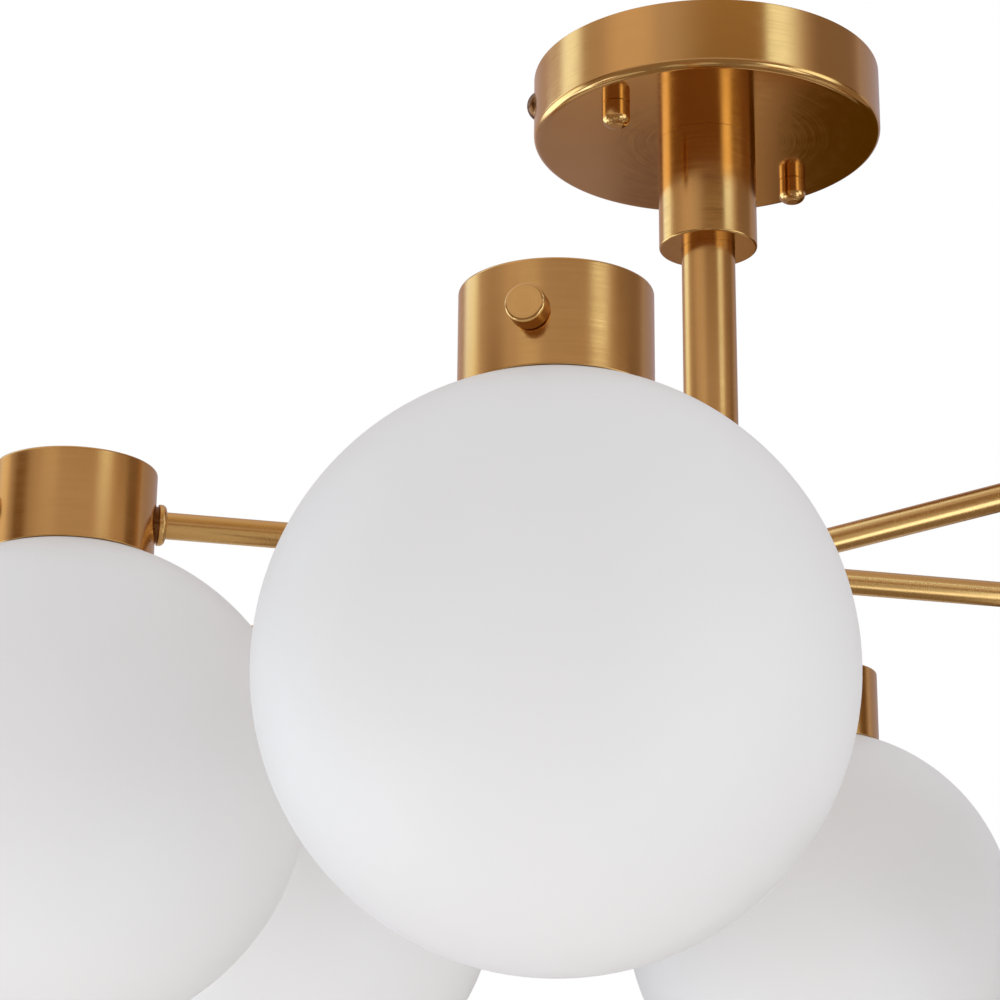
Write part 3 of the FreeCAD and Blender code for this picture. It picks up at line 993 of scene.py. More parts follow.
def tube_outline(outer: float, inner: float, low: float, high: float) -> Outline:
    """Section of a straight tube with rounded ends."""
    places = ((inner, low), (outer, low), (outer, high), (inner, high))
    return trace([Corner(*place, RIM_BEND) for place in places], closed=True)


def threaded_rod(radius: float, low: float, high: float, seat: Seat, depth: float = THREAD_DEPTH) -> Surface:
    """Screw thread: the radius drops by depth times a triangle wave of height/pitch - angle/turn.

    Args:
        radius: Outer radius of the thread.
        low: Lower end along the axis.
        high: Upper end along the axis.
        seat: Where the axis lies.
        depth: Depth of the groove.

    Returns:
        The closed surface of the rod.
    """
    columns = 40
    rows_per_turn = 8
    lead_length = 0.8 * THREAD_PITCH
    rows = max(rows_per_turn, math.ceil((high - low) / THREAD_PITCH * rows_per_turn))
    height = np.linspace(low, high, rows)
    turn = np.arange(columns) / columns
    wave = np.abs(2.0 * np.mod(height[:, None] / THREAD_PITCH - turn[None], 1.0) - 1.0)
    lead = np.clip(np.minimum(height - low, high - height) / lead_length, 0.0, 1.0)
    groove = depth * np.where(lead[:, None] < 1.0, np.maximum(wave, 1.0 - lead[:, None]), wave)
    reach = np.concatenate([np.zeros((1, columns)), radius - groove, np.zeros((1, columns))])
    level = np.concatenate([[low], height, [high]])
    angle = FULL_TURN * turn
    local = np.stack([reach * np.cos(angle), reach * np.sin(angle),
                      np.broadcast_to(level[:, None], reach.shape)], axis=-1)
    return Surface(seat.place(local), None, local, np.zeros(reach.shape), False, (True, True))


def cross_recess(angle: np.ndarray, length: float, width: float) -> np.ndarray:
    """Distance from the middle to the edge of a cross of two bars, by angle.

    Each bar ends at length/|cos| or width/|sin|, whichever is nearer, and the cross takes the longer.

    Args:
        angle: Angles round the head.
        length: Half length of a bar.
        width: Half width of a bar.

    Returns:
        The distances.
    """
    least = 1e-6
    cosine = np.maximum(np.abs(np.cos(angle)), least)
    sine = np.maximum(np.abs(np.sin(angle)), least)
    level_bar = np.minimum(length / cosine, width / sine)
    upright_bar = np.minimum(length / sine, width / cosine)
    return np.maximum(level_bar, upright_bar)


def pan_head(radius: float, height: float, seat: Seat) -> Surface:
    """Pan screw head on the plane z = 0 with a cross recess in its crown.

    The crown is a dome, h(r) = height - drop (r/radius)^2, and the recess is a cross-shaped well.

    Args:
        radius: Radius of the head.
        height: Height of the head.
        seat: Where the head's axis lies.

    Returns:
        The closed surface of the head.
    """
    columns = 96
    crown_rows = 7
    bar_length, bar_width = 0.62 * radius, 0.17 * radius
    drop, well, foot_height = 0.42 * height, 0.45 * height, 0.08 * height
    floor_level, lip_drop = height - 0.3 * drop - well, 0.1 * well
    foot_share, lip_share, floor_share = 0.97, 0.93, 0.86
    angle = np.linspace(0.0, FULL_TURN, columns, endpoint=False)
    cross = cross_recess(angle, bar_length, bar_width)[None]
    side = np.full((1, columns), radius)
    middle = np.zeros((1, columns))
    across = side + (cross - side) * np.linspace(0.0, 1.0, crown_rows)[:, None]
    reach = np.concatenate([middle, side * foot_share, side, across, cross * lip_share,
                            cross * floor_share, middle])
    floor = np.full((1, columns), floor_level)
    crown = height - drop * (across / radius) ** 2
    level = np.concatenate([np.zeros((2, columns)), np.full((1, columns), foot_height), crown,
                            crown[-1:] - lip_drop, floor, floor])
    local = np.stack([reach * np.cos(angle), reach * np.sin(angle), level], axis=-1)
    return Surface(seat.place(local), None, local, np.zeros(reach.shape), False, (True, True))


@dataclass(frozen=True)
class CanopyAssembly:
    """Spun canopy with its cap nuts, side screw and the studs that carry it."""

    wall: float = 0.0012
    bend: float = 0.0028
    nipple_hole: float = 0.00525
    nut_round: float = 0.0030
    nut_end: float = 0.0015
    nut_rim_round: float = 0.00025
    bore_round: float = 0.00015
    stud_radius: float = 0.0020
    stud_head_height: float = 0.0026
    side_head_height: float = 0.0025
    side_head_sink: float = 0.0006
    side_foot_sink: float = 0.0004
    side_foot_inset: float = 0.0001
    side_dome_steps: int = 14

    def build(self, nodes: dict[str, bpy.types.Object]) -> None:
        """Build the canopy's pieces.

        Args:
            nodes: CAD nodes by name.
        """
        dish = NodeSize.of("canopy")
        outline = dish_outline(dish.half, dish.high, dish.low, self.wall, self.bend, self.nipple_hole)
        spun = SpunBrass("spun_satin_brass", Slot.BRASS, face_level=dish.low)
        turned_piece("canopy_shell", outline, Turning.CANOPY, upright(), spun, "canopy")
        for side in SIDES:
            self.build_cap_nut(f"cap_nut_{side}")
        self.build_studs()
        self.build_side_screw(nodes["canopy_side_screw"].data)

    def build_cap_nut(self, node: str) -> None:
        """Round blind nut with a rounded end and a bore for the stud.

        Args:
            node: CAD node of the nut.
        """
        nut = NodeSize.of(node)
        bore = self.stud_radius + FIT_CLEARANCE
        outline = trace([Corner(0.0, nut.low), Corner(nut.half, nut.low, self.nut_round),
                         Corner(nut.half, nut.high, self.nut_rim_round),
                         Corner(bore, nut.high, self.bore_round),
                         Corner(bore, nut.low + self.nut_end, self.bore_round),
                         Corner(0.0, nut.low + self.nut_end)], closed=False)
        turned_piece(f"{node}_body", outline, Turning.NUT, upright(nut.x, nut.y), BRASS, node, node)

    def build_studs(self) -> None:
        """Threaded studs with cross-recessed heads above the crossbar's ends."""
        low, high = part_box("canopy_studs")
        seat_level = high.z - self.stud_head_height
        surfaces = []
        for side in SIDES:
            place = NodeSize.of(f"cap_nut_{side}")
            surfaces.append(threaded_rod(self.stud_radius, low.z, seat_level + SHANK_OVERLAP,
                                         upright(place.x, place.y)))
            head_radius = (high.x - low.x) / 2 - abs(place.x)
            surfaces.append(pan_head(head_radius, self.stud_head_height,
                                     upright(place.x, place.y, seat_level)))
        dress_piece("canopy_stud_screws", surfaces, STEEL, "canopy_studs")

    def build_side_screw(self, mesh: bpy.types.Mesh) -> None:
        """Screw through the canopy's wall, with a dome of radius (r^2 + h^2) / 2h as its head.

        Args:
            mesh: CAD mesh of the screw.
        """
        node = "canopy_side_screw"
        low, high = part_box(node)
        middle = (low + high) / 2
        seat = lying(math.atan2(middle.y, middle.x), middle.z)
        tip, crown = reach_along(mesh, seat.axes[2])
        radius = (high.z - low.z) / 2
        wall_face = NodeSize.of("canopy").half
        dome = (radius ** 2 + self.side_head_height ** 2) / (2.0 * self.side_head_height)
        swing = np.linspace(0.0, math.asin(radius / dome), self.side_dome_steps)[::-1]
        rise = np.stack([dome * np.sin(swing), crown - dome + dome * np.cos(swing)], axis=-1)
        rays = np.stack([np.sin(swing), np.cos(swing)], axis=-1)
        base = wall_face - self.side_head_sink
        foot = np.array([[0.0, base], [radius - self.side_foot_inset, base],
                         [radius, wall_face - self.side_foot_sink]])
        foot_rays = np.array([[0.0, -1.0], [0.4, -0.9], [1.0, 0.0]])
        edge = np.concatenate([np.zeros(2), [1.0, 1.0], np.zeros(len(swing) - 1)])
        head = Outline(np.concatenate([foot, rise]), np.concatenate([foot_rays, rays]), edge, False)
        turned_piece(f"{node}_head", head, Turning.NUT, seat, DARK_BRASS_AND_SLOT_SHADE, node)
        dress_piece(f"{node}_shank", [threaded_rod(self.stud_radius, tip, wall_face, seat)], BRASS, node)


@dataclass(frozen=True)
class StemAssembly:
    """Neck collar and stem tube, with the hub drum, its lid and its finial."""

    collar_wall: float = 0.0012
    collar_bend: float = 0.0007
    collar_lip: float = 0.0001
    stem_wall: float = 0.0020
    hub_wall: float = 0.0012
    hub_bend: float = 0.0015
    nipple_radius: float = 0.0050
    hole_clearance: float = 0.00025
    lid_round: float = 0.0006
    seam_round: float = 0.00015
    finial_wall: float = 0.0020
    finial_rim_round: float = 0.0003

    def build(self) -> None:
        """Build the collar, the stem and the hub."""
        stem = NodeSize.of("stem_tube")
        collar = NodeSize.of("neck_collar")
        sleeve = dish_outline(collar.half, collar.high, collar.low, self.collar_wall, self.collar_bend,
                              stem.half + FIT_CLEARANCE, self.collar_lip)
        turned_piece("neck_collar_sleeve", sleeve, Turning.COLLAR, upright(), BRASS, "neck_collar")
        tube = tube_outline(stem.half, stem.half - self.stem_wall, stem.low, stem.high)
        turned_piece("stem_tube_brushed", tube, Turning.STEM, upright(), PIPE, "stem_tube")
        self.build_hub()

    def build_hub(self) -> None:
        """Drum, lid and finial under the stem."""
        drum = NodeSize.of("hub_body")
        lid_size = NodeSize.of("hub_lid")
        finial = NodeSize.of("hub_finial")
        hole = self.nipple_radius + self.hole_clearance
        shell = dish_outline(drum.half, drum.low, drum.high, self.hub_wall, self.hub_bend, hole)
        turned_piece("hub_drum", shell, Turning.HUB, upright(), BRASS, "hub_body")
        lip = drum.half - self.hub_wall - FIT_CLEARANCE
        lid = trace([Corner(hole, lid_size.low), Corner(lid_size.half, lid_size.low, self.lid_round),
                     Corner(lid_size.half, drum.low, self.seam_round),
                     Corner(lip, drum.low, self.seam_round), Corner(lip, lid_size.high),
                     Corner(lip - self.hub_wall, lid_size.high), Corner(lip - self.hub_wall, drum.low),
                     Corner(hole, drum.low)], closed=True)
        turned_piece("hub_lid_plate", lid, Turning.HUB, upright(), BRASS, "hub_lid")
        bore = self.nipple_radius + FIT_CLEARANCE
        dome = finial.half * 2.0 / 3.0
        knob = trace([Corner(0.0, finial.low), Corner(finial.half, finial.low, dome),
                      Corner(finial.half, finial.high, self.finial_rim_round), Corner(bore, finial.high),
                      Corner(bore, finial.low + self.finial_wall),
                      Corner(0.0, finial.low + self.finial_wall)], closed=False)
        turned_piece("hub_finial_knob", knob, Turning.BEAD, upright(), BRASS, "hub_finial")


@dataclass(frozen=True)
class ArmStation:
    """One arm with its cup, rosette, thumbscrew, globe, lamp holder screws and bulb."""

    number: int
    arm_wall: float = 0.0012
    cup_wall: float = 0.0010
    cup_bend: float = 0.0009
    rosette_radius: float = 0.0065
    rosette_height: float = 0.0032
    rosette_round: float = 0.0016
    rosette_neck: float = 0.0058
    rosette_slot: float = 0.0009
    rosette_rim: float = 0.0003
    rosette_sink: float = 0.0002
    washer_round: float = 0.0001
    washer_back: float = 0.0008
    knob_height: float = 0.0060
    knob_round: float = 0.0009
    knob_bevel: float = 0.00025
    screw_radius: float = 0.0020
    glass_wall: float = 0.0025
    neck_radius: float = 0.019995
    shoulder_round: float = 0.0040
    belly_steps: int = 72
    shoulder_steps: int = 10
    lip_steps: int = 13
    capsule_dome_share: float = 0.98
    capsule_foot_round: float = 0.0012
    bulb_base_length: float = 0.0090
    bulb_base_radius: float = 0.0075
    bulb_base_round: float = 0.0006
    bulb_base_overlap: float = 0.0002
    pin_length: float = 0.0065
    pin_place: float = 0.0045
    pin_radius: float = 0.0011
    pin_tip_round: float = 0.0004
    pin_sink: float = 0.0003
    pin_flatness: float = 0.41
    holder_screw_place: float = 0.0060
    holder_screw_radius: float = 0.0015
    holder_head_radius: float = 0.0028
    holder_head_height: float = 0.0018
    holder_shank_overlap: float = 0.0004
    holder_thread_depth: float = 0.0002

    def build(self, nodes: dict[str, bpy.types.Object]) -> None:
        """Build the station's pieces.

        Args:
            nodes: CAD nodes by name.
        """
        cup = NodeSize.of(f"cup_{self.number}")
        angle = math.atan2(cup.y, cup.x)
        reach = math.hypot(cup.x, cup.y)
        self.build_cup(cup)
        self.build_holder_screws(cup, angle)
        self.build_arm(nodes[f"arm_{self.number}"].data, angle, reach, cup.half)
        self.build_thumbscrew(nodes[f"thumbscrew_{self.number}"].data, angle)
        self.build_globe(cup)
        self.build_bulb(angle)

    def build_cup(self, cup: NodeSize) -> None:
        """Cup that opens downwards over the neck of the glass.

        Args:
            cup: Box of the cup.
        """
        node = f"cup_{self.number}"
        outline = dish_outline(cup.half, cup.low, cup.high, self.cup_wall, self.cup_bend, 0.0)
        turned_piece(f"{node}_shell", outline, Turning.CUP, upright(cup.x, cup.y), BRASS, node)

    def build_holder_screws(self, cup: NodeSize, angle: float) -> None:
        """Two small screws through the cup's top into the lamp holder.

        Args:
            cup: Box of the cup.
            angle: Direction of the arm in plan, in radians.
        """
        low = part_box("holder_screws")[0].z
        surfaces = []
        for side in (-self.holder_screw_place, self.holder_screw_place):
            x = cup.x - side * math.sin(angle)
            y = cup.y + side * math.cos(angle)
            surfaces.append(pan_head(self.holder_head_radius, self.holder_head_height,
                                     upright(x, y, cup.high)))
            surfaces.append(threaded_rod(self.holder_screw_radius, low, cup.high + self.holder_shank_overlap,
                                         upright(x, y), self.holder_thread_depth))
        dress_piece(f"holder_screws_{self.number}", surfaces, STEEL, "holder_screws")

    def build_arm(self, mesh: bpy.types.Mesh, angle: float, reach: float, cup_radius: float) -> None:
        """Arm tube, and the rosette with a washer whose back follows the cup's wall and whose dark colour is
        painted shade in the slot.

        Args:
            mesh: CAD mesh of the arm.
            angle: Direction of the arm in plan, in radians.
            reach: Distance of the cup's axis from the stem.
            cup_radius: Outer radius of the cup.
        """
        node = f"arm_{self.number}"
        size = NodeSize.of(node)
        radius = size.lying_radius()
        seat = lying(angle, size.lying_level())
        start, end = reach_along(mesh, seat.axes[2])
        tube = tube_outline(radius, radius - self.arm_wall, start, end)
        turned_piece(f"{node}_tube", tube, Turning.ARM, seat, DRAWN, node)
        front = reach - cup_radius - self.rosette_height
        back = reach - cup_radius + self.rosette_sink
        seam = back - self.rosette_slot
        bead = trace([Corner(self.rosette_radius, front, self.rosette_round),
                      Corner(self.rosette_radius, seam, self.rosette_rim),
                      Corner(radius, seam, self.washer_round),
                      Corner(radius, front, self.rosette_rim)], closed=True)
        turned_piece(f"arm_rosette_{self.number}", bead, Turning.BEAD, seat, DRAWN, "arm_rosettes")
        ring_corners = ((self.rosette_neck, seam), (self.rosette_neck, back), (radius, back), (radius, seam))
        ring = trace([Corner(*place, self.washer_round) for place in ring_corners], closed=True)
        washer = revolve(ring, Turning.BEAD, lying(angle, 0.0))
        self.bend_to_cup(washer, seat, cup_radius, back)
        # Painted shade: the washer is dark to stand for the shade in the slot between the rosette's bead and
        # the cup.
        dress_piece(f"arm_rosette_painted_shade_washer_{self.number}", [washer], DARK_BRASS_AND_SLOT_SHADE, "arm_rosettes")

    def bend_to_cup(self, surface: Surface, seat: Seat, cup_radius: float, back: float) -> None:
        """Push a washer's back onto the cup: its depth grows by R - sqrt(R^2 - y^2), and lift it to the arm.

        Args:
            surface: Washer, still at level 0.
            seat: Where the arm lies.
            cup_radius: Outer radius of the cup.
            back: Distance of the washer's flat back from the stem.
        """
        sideways = surface.points @ seat.axes[0]
        depth = surface.points @ seat.axes[2]
        sag = cup_radius - np.sqrt(cup_radius ** 2 - sideways ** 2)
        pushed = np.where(depth > back - self.washer_back, sag, 0.0)
        surface.points = surface.points + pushed[..., None] * seat.axes[2] + seat.origin

    def build_thumbscrew(self, mesh: bpy.types.Mesh, angle: float) -> None:
        """Knob with a rounded front edge on a threaded shank.

        Args:
            mesh: CAD mesh of the thumbscrew.
            angle: Direction of the arm in plan, in radians.
        """
        node = f"thumbscrew_{self.number}"
        size = NodeSize.of(node)
        radius = size.lying_radius()
        seat = lying(angle, size.lying_level())
        tip, face = reach_along(mesh, seat.axes[2])
        back = face - self.knob_height
        knob = trace([Corner(0.0, back), Corner(radius - self.knob_bevel, back),
                      Corner(radius, back + self.knob_bevel), Corner(radius, face, self.knob_round),
                      Corner(0.0, face)], closed=False)
        shank = threaded_rod(self.screw_radius, tip, back + SHANK_OVERLAP, seat)
        turned_piece(f"{node}_knob", knob, Turning.KNOB, seat, BRASS, node, node)
        dress_piece(f"{node}_shank", [shank], BRASS, node, node)

    def build_globe(self, cup: NodeSize) -> None:
        """Blown globe: a sphere, a small shoulder round and a straight neck with a rounded lip.

        Its edge mask is 1 on the inner face, which gets a painted glow in place of light coming through the
        glass.

        Args:
            cup: Box of the cup above it.
        """
        node = f"globe_{self.number}"
        size = NodeSize.of(node)
        radius = size.half
        centre = size.low + radius
        outer = self.glass_line(radius, self.neck_radius, self.shoulder_round, centre, size.high)
        inner = self.glass_line(radius - self.glass_wall, self.neck_radius - self.glass_wall,
                                self.shoulder_round + self.glass_wall, centre, size.high)
        lip = np.linspace(0.0, math.pi, self.lip_steps)[1:-1]
        half = self.glass_wall / 2
        lip_rays = np.stack([np.cos(lip), np.sin(lip)], axis=-1)
        lip_points = np.array([self.neck_radius - half, size.high - half]) + lip_rays * half
        points = np.concatenate([outer.points, lip_points, inner.points[::-1]])
        normals = np.concatenate([outer.normals, lip_rays, -inner.normals[::-1]])
        # Mask of the painted glow on the inner face.
        inside = np.concatenate([np.zeros(len(outer.points)), np.linspace(0.0, 1.0, len(lip)),
                                 np.ones(len(inner.points))])
        outline = Outline(points, normals, inside, False)
        turned_piece(f"{node}_glass", outline, Turning.GLOBE, upright(cup.x, cup.y), OPAL, node, node)

    def glass_line(self, radius: float, neck: float, fillet: float, centre: float, top: float) -> Outline:
        """One face of the glass, from the lowest point up to the lip.

        The shoulder's fillet touches the sphere and the neck: its centre is at neck + fillet from the
        axis and at radius + fillet from the globe's centre.

        Args:
            radius: Radius of this face of the sphere.
            neck: Radius of this face of the neck.
            fillet: Radius of the shoulder's fillet.
            centre: Level of the globe's centre.
            top: Level of the lip.

        Returns:
            The face's outline.
        """
        out = neck + fillet
        rise = math.sqrt((radius + fillet) ** 2 - out ** 2)
        meet = math.atan2(rise, out)
        belly = np.linspace(-math.pi / 2, meet, self.belly_steps)
        belly_rays = np.stack([np.cos(belly), np.sin(belly)], axis=-1)
        belly_rays[0] = (0.0, -1.0)
        swing = np.linspace(meet + math.pi, math.pi, self.shoulder_steps)[1:]
        shoulder_rays = np.stack([np.cos(swing), np.sin(swing)], axis=-1)
        middle = np.array([0.0, centre])
        shoulder = np.array([out, centre + rise]) + shoulder_rays * fillet
        lip = np.array([[neck, top - self.glass_wall / 2]])
        points = np.concatenate([middle + belly_rays * radius, shoulder, lip])
        normals = np.concatenate([belly_rays, -shoulder_rays, [[1.0, 0.0]]])
        return Outline(points, normals, np.zeros(len(points)), False)

    def build_bulb(self, angle: float) -> None:
        """Frosted capsule with a ceramic base and two flattened steel pins.

        Args:
            angle: Direction of the arm in plan, in radians.
        """
        node = f"bulb_{self.number}"
        size = NodeSize.of(node)
        low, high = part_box(node)
        radius = min(high.x - low.x, high.y - low.y) / 2
        base_top = size.high - self.pin_length
        base_low = base_top - self.bulb_base_length
        dome = radius * self.capsule_dome_share
        glass = self.peg(radius, size.low, base_low, self.capsule_foot_round, dome)
        base = self.peg(self.bulb_base_radius, base_low - self.bulb_base_overlap, base_top,
                        self.bulb_base_round)
        pin = self.peg(self.pin_radius, base_top - self.pin_sink, size.high, self.pin_tip_round)
        seat = upright(size.x, size.y)
        turned_piece(f"{node}_capsule", glass, Turning.BULB, seat, FROSTED, node, node)
        turned_piece(f"{node}_base", base, Turning.BULB, seat, CERAMIC, node, node)
        cosine, sine = math.cos(angle), math.sin(angle)
        axes = np.array([[self.pin_flatness * cosine, self.pin_flatness * sine, 0.0],
                         [-sine, cosine, 0.0], [0.0, 0.0, 1.0]])
        pins = []
        for side in (-self.pin_place, self.pin_place):
            place = np.array([size.x + side * cosine, size.y + side * sine, 0.0])
            surface = revolve(pin, Turning.PIN, Seat(place, axes))
            surface.normals = None
            pins.append(surface)
        dress_piece(f"{node}_pins", pins, STEEL, node, node)

    @staticmethod
    def peg(radius: float, low: float, high: float, high_bend: float,
            low_bend: float = SLIGHT_BEND) -> Outline:
        """Section of a solid round peg, rounded at its two ends."""
        return trace([Corner(0.0, low), Corner(radius, low, low_bend), Corner(radius, high, high_bend),
                      Corner(0.0, high)], closed=False)


@dataclass(frozen=True)
class CarriedNodes:
    """CAD nodes whose shape is right, which stay and get a finish."""

    steel: tuple[str, ...] = ("ceiling_crossbar", "lock_nuts", "nipple_nuts", "arm_nuts", "canopy_nipple",
                              "canopy_washer", "hub_nipple", "stem_plug")
    brass: tuple[str, ...] = ("stem_bush", "thumbscrew_inserts")

    def build(self, nodes: dict[str, bpy.types.Object]) -> None:
        """Finish the carried nodes.

        Args:
            nodes: CAD nodes by name.
        """
        finishes = dict.fromkeys(self.steel, STEEL) | dict.fromkeys(self.brass, BRASS)
        finishes |= {f"lamp_holder_{number}": CERAMIC for number in ARM_NUMBERS}
        finishes |= {"terminal_block": PLASTIC, "ground_screw": EARTH}
        for name, finish in finishes.items():
            for slot in nodes[name].material_slots:
                slot.material = finish.material()
            LOG.info("%s: kept with %s", name, finish.name)


def ease(share: np.ndarray) -> np.ndarray:
    """Soft step from 0 to 1 as the share goes from -0.5 to 0.5: 3 u^2 - 2 u^3."""
    clipped = np.clip(share + 0.5, 0.0, 1.0)
    return clipped ** 2 * (3.0 - 2.0 * clipped)


@dataclass(frozen=True)
class Panel:
    """Soft panel on the studio's drum.

    Args:
        start: Left edge, in degrees to the right of the camera's place.
        stop: Right edge, likewise.
        colour: Light of the panel.
        low: Lower edge.
        high: Upper edge.
        side_soft: Width in degrees over which the side edges fade.
        level_soft: Height over which the lower and upper edges fade.
    """

    start: float
    stop: float
    colour: Colour
    low: float = -9.0
    high: float = 9.0
    side_soft: float = 6.0
    level_soft: float = 0.3


@dataclass(frozen=True)
class Card:
    """Curved soft light near the piece.

    Args:
        name: Name of the card.
        start: Left side, in degrees to the right of the camera's place.
        stop: Right side.
        colour: Its light.
        low: Lower edge.
        high: Upper edge.
        distance: Distance from the stem.
        start_soft: Width of the left side's fade, in degrees.
        stop_soft: Width of the right side's fade, in degrees.
        level_soft: Height of the fade at the lower and upper edge.
    """

    name: str
    start: float
    stop: float
    colour: Colour
    low: float
    high: float
    distance: float
    start_soft: float = 5.0
    stop_soft: float = 18.0
    level_soft: float = 0.07


@dataclass(frozen=True)
class Lamp:
    """Area lamp aimed at the middle of the light.

    Args:
        name: Name of the lamp.
        offset: Degrees to the right of the camera's place.
        distance: Distance from the stem in plan.
        level: Height of the lamp.
        size: Width and height.
        power: Power in watts.
    """

    name: str
    offset: float
    distance: float
    level: float
    size: tuple[float, float]
    power: float


@dataclass(frozen=True)
class Studio:
    """Camera, lamps, world and floor, with a drum and a card that only reflections see."""

    camera_place: Colour = (-0.62405, -0.57270, -0.42411)
    heading: float = 47.33
    pitch: float = 17.71
    roll: float = 0.52
    focal_length: float = 95.85
    sensor: float = 36.0
    aim_level: float = -0.18
    floor_level: float = -2.4
    floor_half: float = 14.0
    floor_steps: int = 9
    floor_colour: Colour = (0.80, 0.79, 0.78)
    floor_gloss: tuple[float, float] = (0.75, 0.85)
    floor_grain: float = 3.0
    floor_relief: float = 0.0002
    ambient: float = 0.765
    drum_radius: float = 3.0
    drum_low: float = -2.2
    drum_high: float = 2.8
    drum_gap: float = 0.01
    drum_columns: int = 721
    wall_rows: int = 101
    ground_rows: int = 61
    card_columns: int = 61
    card_rows: int = 41
    room: Colour = (0.65, 0.58, 0.60)
    roof: Colour = (0.79, 0.73, 0.72)
    panels: tuple[Panel, ...] = (
        Panel(-62.0, -42.0, (0.74, 0.68, 0.69), side_soft=20.0),
        Panel(-98.0, -76.0, (0.59, 0.51, 0.50), side_soft=16.0),
        Panel(-190.0, -134.0, (0.55, 0.44, 0.42)),
        Panel(-12.0, 45.0, (0.50, 0.37, 0.22), low=1.14, side_soft=36.0, level_soft=0.2),
        Panel(-20.0, 40.0, (0.09, 0.045, 0.01), low=1.15, high=1.42, side_soft=34.0, level_soft=0.16),
        Panel(66.0, 116.0, (0.30, 0.23, 0.21), low=0.87, side_soft=18.0, level_soft=0.14),
        Panel(119.0, 190.0, (0.46, 0.41, 0.47)),
        Panel(-90.0, -45.0, (0.49, 0.41, 0.40), high=0.87, side_soft=40.0, level_soft=0.14),
        Panel(-84.0, -62.0, (0.19, 0.11, 0.05), high=0.87, side_soft=14.0, level_soft=0.14),
        Panel(-117.0, -95.0, (1.10, 0.98, 0.75), low=0.60, high=0.86, side_soft=8.0, level_soft=0.1),
        Panel(-42.0, -20.0, (0.98, 0.98, 0.95), low=0.80, high=1.00, side_soft=10.0, level_soft=0.08),
        Panel(24.0, 50.0, (0.66, 0.57, 0.58), high=0.87, side_soft=16.0, level_soft=0.14),
        Panel(48.0, 84.0, (0.58, 0.45, 0.38), high=0.87, side_soft=12.0, level_soft=0.14),
        Panel(84.0, 107.0, (0.17, 0.09, 0.03), high=0.87, side_soft=8.0, level_soft=0.14),
        Panel(-130.0, -103.0, (1.30, 1.60, 1.75), low=0.86, high=1.20, side_soft=14.0, level_soft=0.1),
        Panel(-132.0, -103.0, (2.05, 2.80, 3.50), low=1.20, high=1.36, side_soft=14.0, level_soft=0.1),
        Panel(37.0, 56.0, (2.40, 3.20, 3.85), low=0.90, high=1.04, side_soft=14.0, level_soft=0.06),
        Panel(-70.0, -40.0, (0.88, 0.76, 0.72), low=1.36, side_soft=16.0, level_soft=0.1),
        Panel(-114.0, -95.5, (1.50, 1.95, 2.45), low=1.36, side_soft=12.0, level_soft=0.1),
        Panel(-104.0, 120.0, (0.32, 0.24, 0.18), high=0.2, side_soft=12.0, level_soft=0.5),
        Panel(-132.0, -103.0, (2.20, 2.80, 3.40), low=-1.8, high=0.35, side_soft=14.0),
        Panel(33.5, 54.5, (2.20, 2.80, 3.30), low=-1.8, high=-0.9, side_soft=16.0),
        Panel(-108.0, -89.0, (1.80, 2.20, 2.50), low=-1.2, high=0.35, side_soft=10.0),
        Panel(53.0, 84.0, (1.70, 2.05, 2.30), low=-1.2, high=0.35, side_soft=12.0),
        Panel(-190.0, -136.0, (0.38, 0.32, 0.38), high=0.1),
        Panel(120.0, 173.4, (0.10, 0.05, 0.00), high=0.1, side_soft=1.5),
        Panel(173.4, 175.5, (0.44, 0.30, 0.16), high=0.1, side_soft=1.5),
        Panel(175.5, 178.2, (0.21, 0.15, 0.15), high=0.1, side_soft=1.5),
        Panel(178.2, 190.0, (0.38, 0.32, 0.38), high=0.1, side_soft=1.5),
        Panel(172.7, 190.0, (0.53, 0.41, 0.31), high=-1.52, side_soft=1.5, level_soft=0.14),
        Panel(-190.0, 190.0, (0.28, 0.23, 0.19), high=-2.2, side_soft=1.0, level_soft=0.1),
        Panel(39.0, 70.0, (2.00, 2.30, 2.70), low=-3.7, high=-1.8, side_soft=14.0),
        Panel(-110.0, -74.0, (2.60, 3.10, 3.90), low=-3.6, high=-1.9, side_soft=12.0),
    )
    cards: tuple[Card, ...] = (
        Card("near_softbox", 35.0, 54.0, (1.47, 1.94, 2.44), low=0.32, high=0.53, distance=0.9),
    )
    lamps: tuple[Lamp, ...] = (
        Lamp("key_softbox", offset=55.0, distance=2.2, level=1.1, size=(1.3, 1.9), power=9.0),
        Lamp("fill_softbox", offset=-70.0, distance=2.4, level=-0.9, size=(1.5, 1.5), power=10.0),
        Lamp("low_fill", offset=20.0, distance=0.7, level=-1.9, size=(2.0, 2.0), power=11.5),
    )

    def build(self) -> None:
        """Build the whole studio."""
        settings = bpy.context.scene.view_settings
        settings.view_transform = "Standard"
        self.build_camera()
        self.build_world()
        for lamp in self.lamps:
            self.build_lamp(lamp)
        for card in self.cards:
            self.build_card(card)
        self.build_floor()
        self.build_drum()

    def bearing(self, offset: float | np.ndarray) -> float | np.ndarray:
        """Heading in radians of a direction that lies offset degrees right of the camera's place."""
        return np.radians(self.heading + 180.0 + offset)

    def round_the_stem(self, offsets: np.ndarray, radii: np.ndarray, heights: np.ndarray) -> np.ndarray:
        """Grid of points on a turned wall round the stem.

        Args:
            offsets: Degrees to the right of the camera's place, by column.
            radii: Distances from the stem, by row.
            heights: Heights, by row.

        Returns:
            Points by column and row.
        """
        bearing = self.bearing(offsets)[:, None]
        return np.stack([np.cos(bearing) * radii, np.sin(bearing) * radii,
                         np.broadcast_to(heights, (len(offsets), len(heights)))], axis=-1)

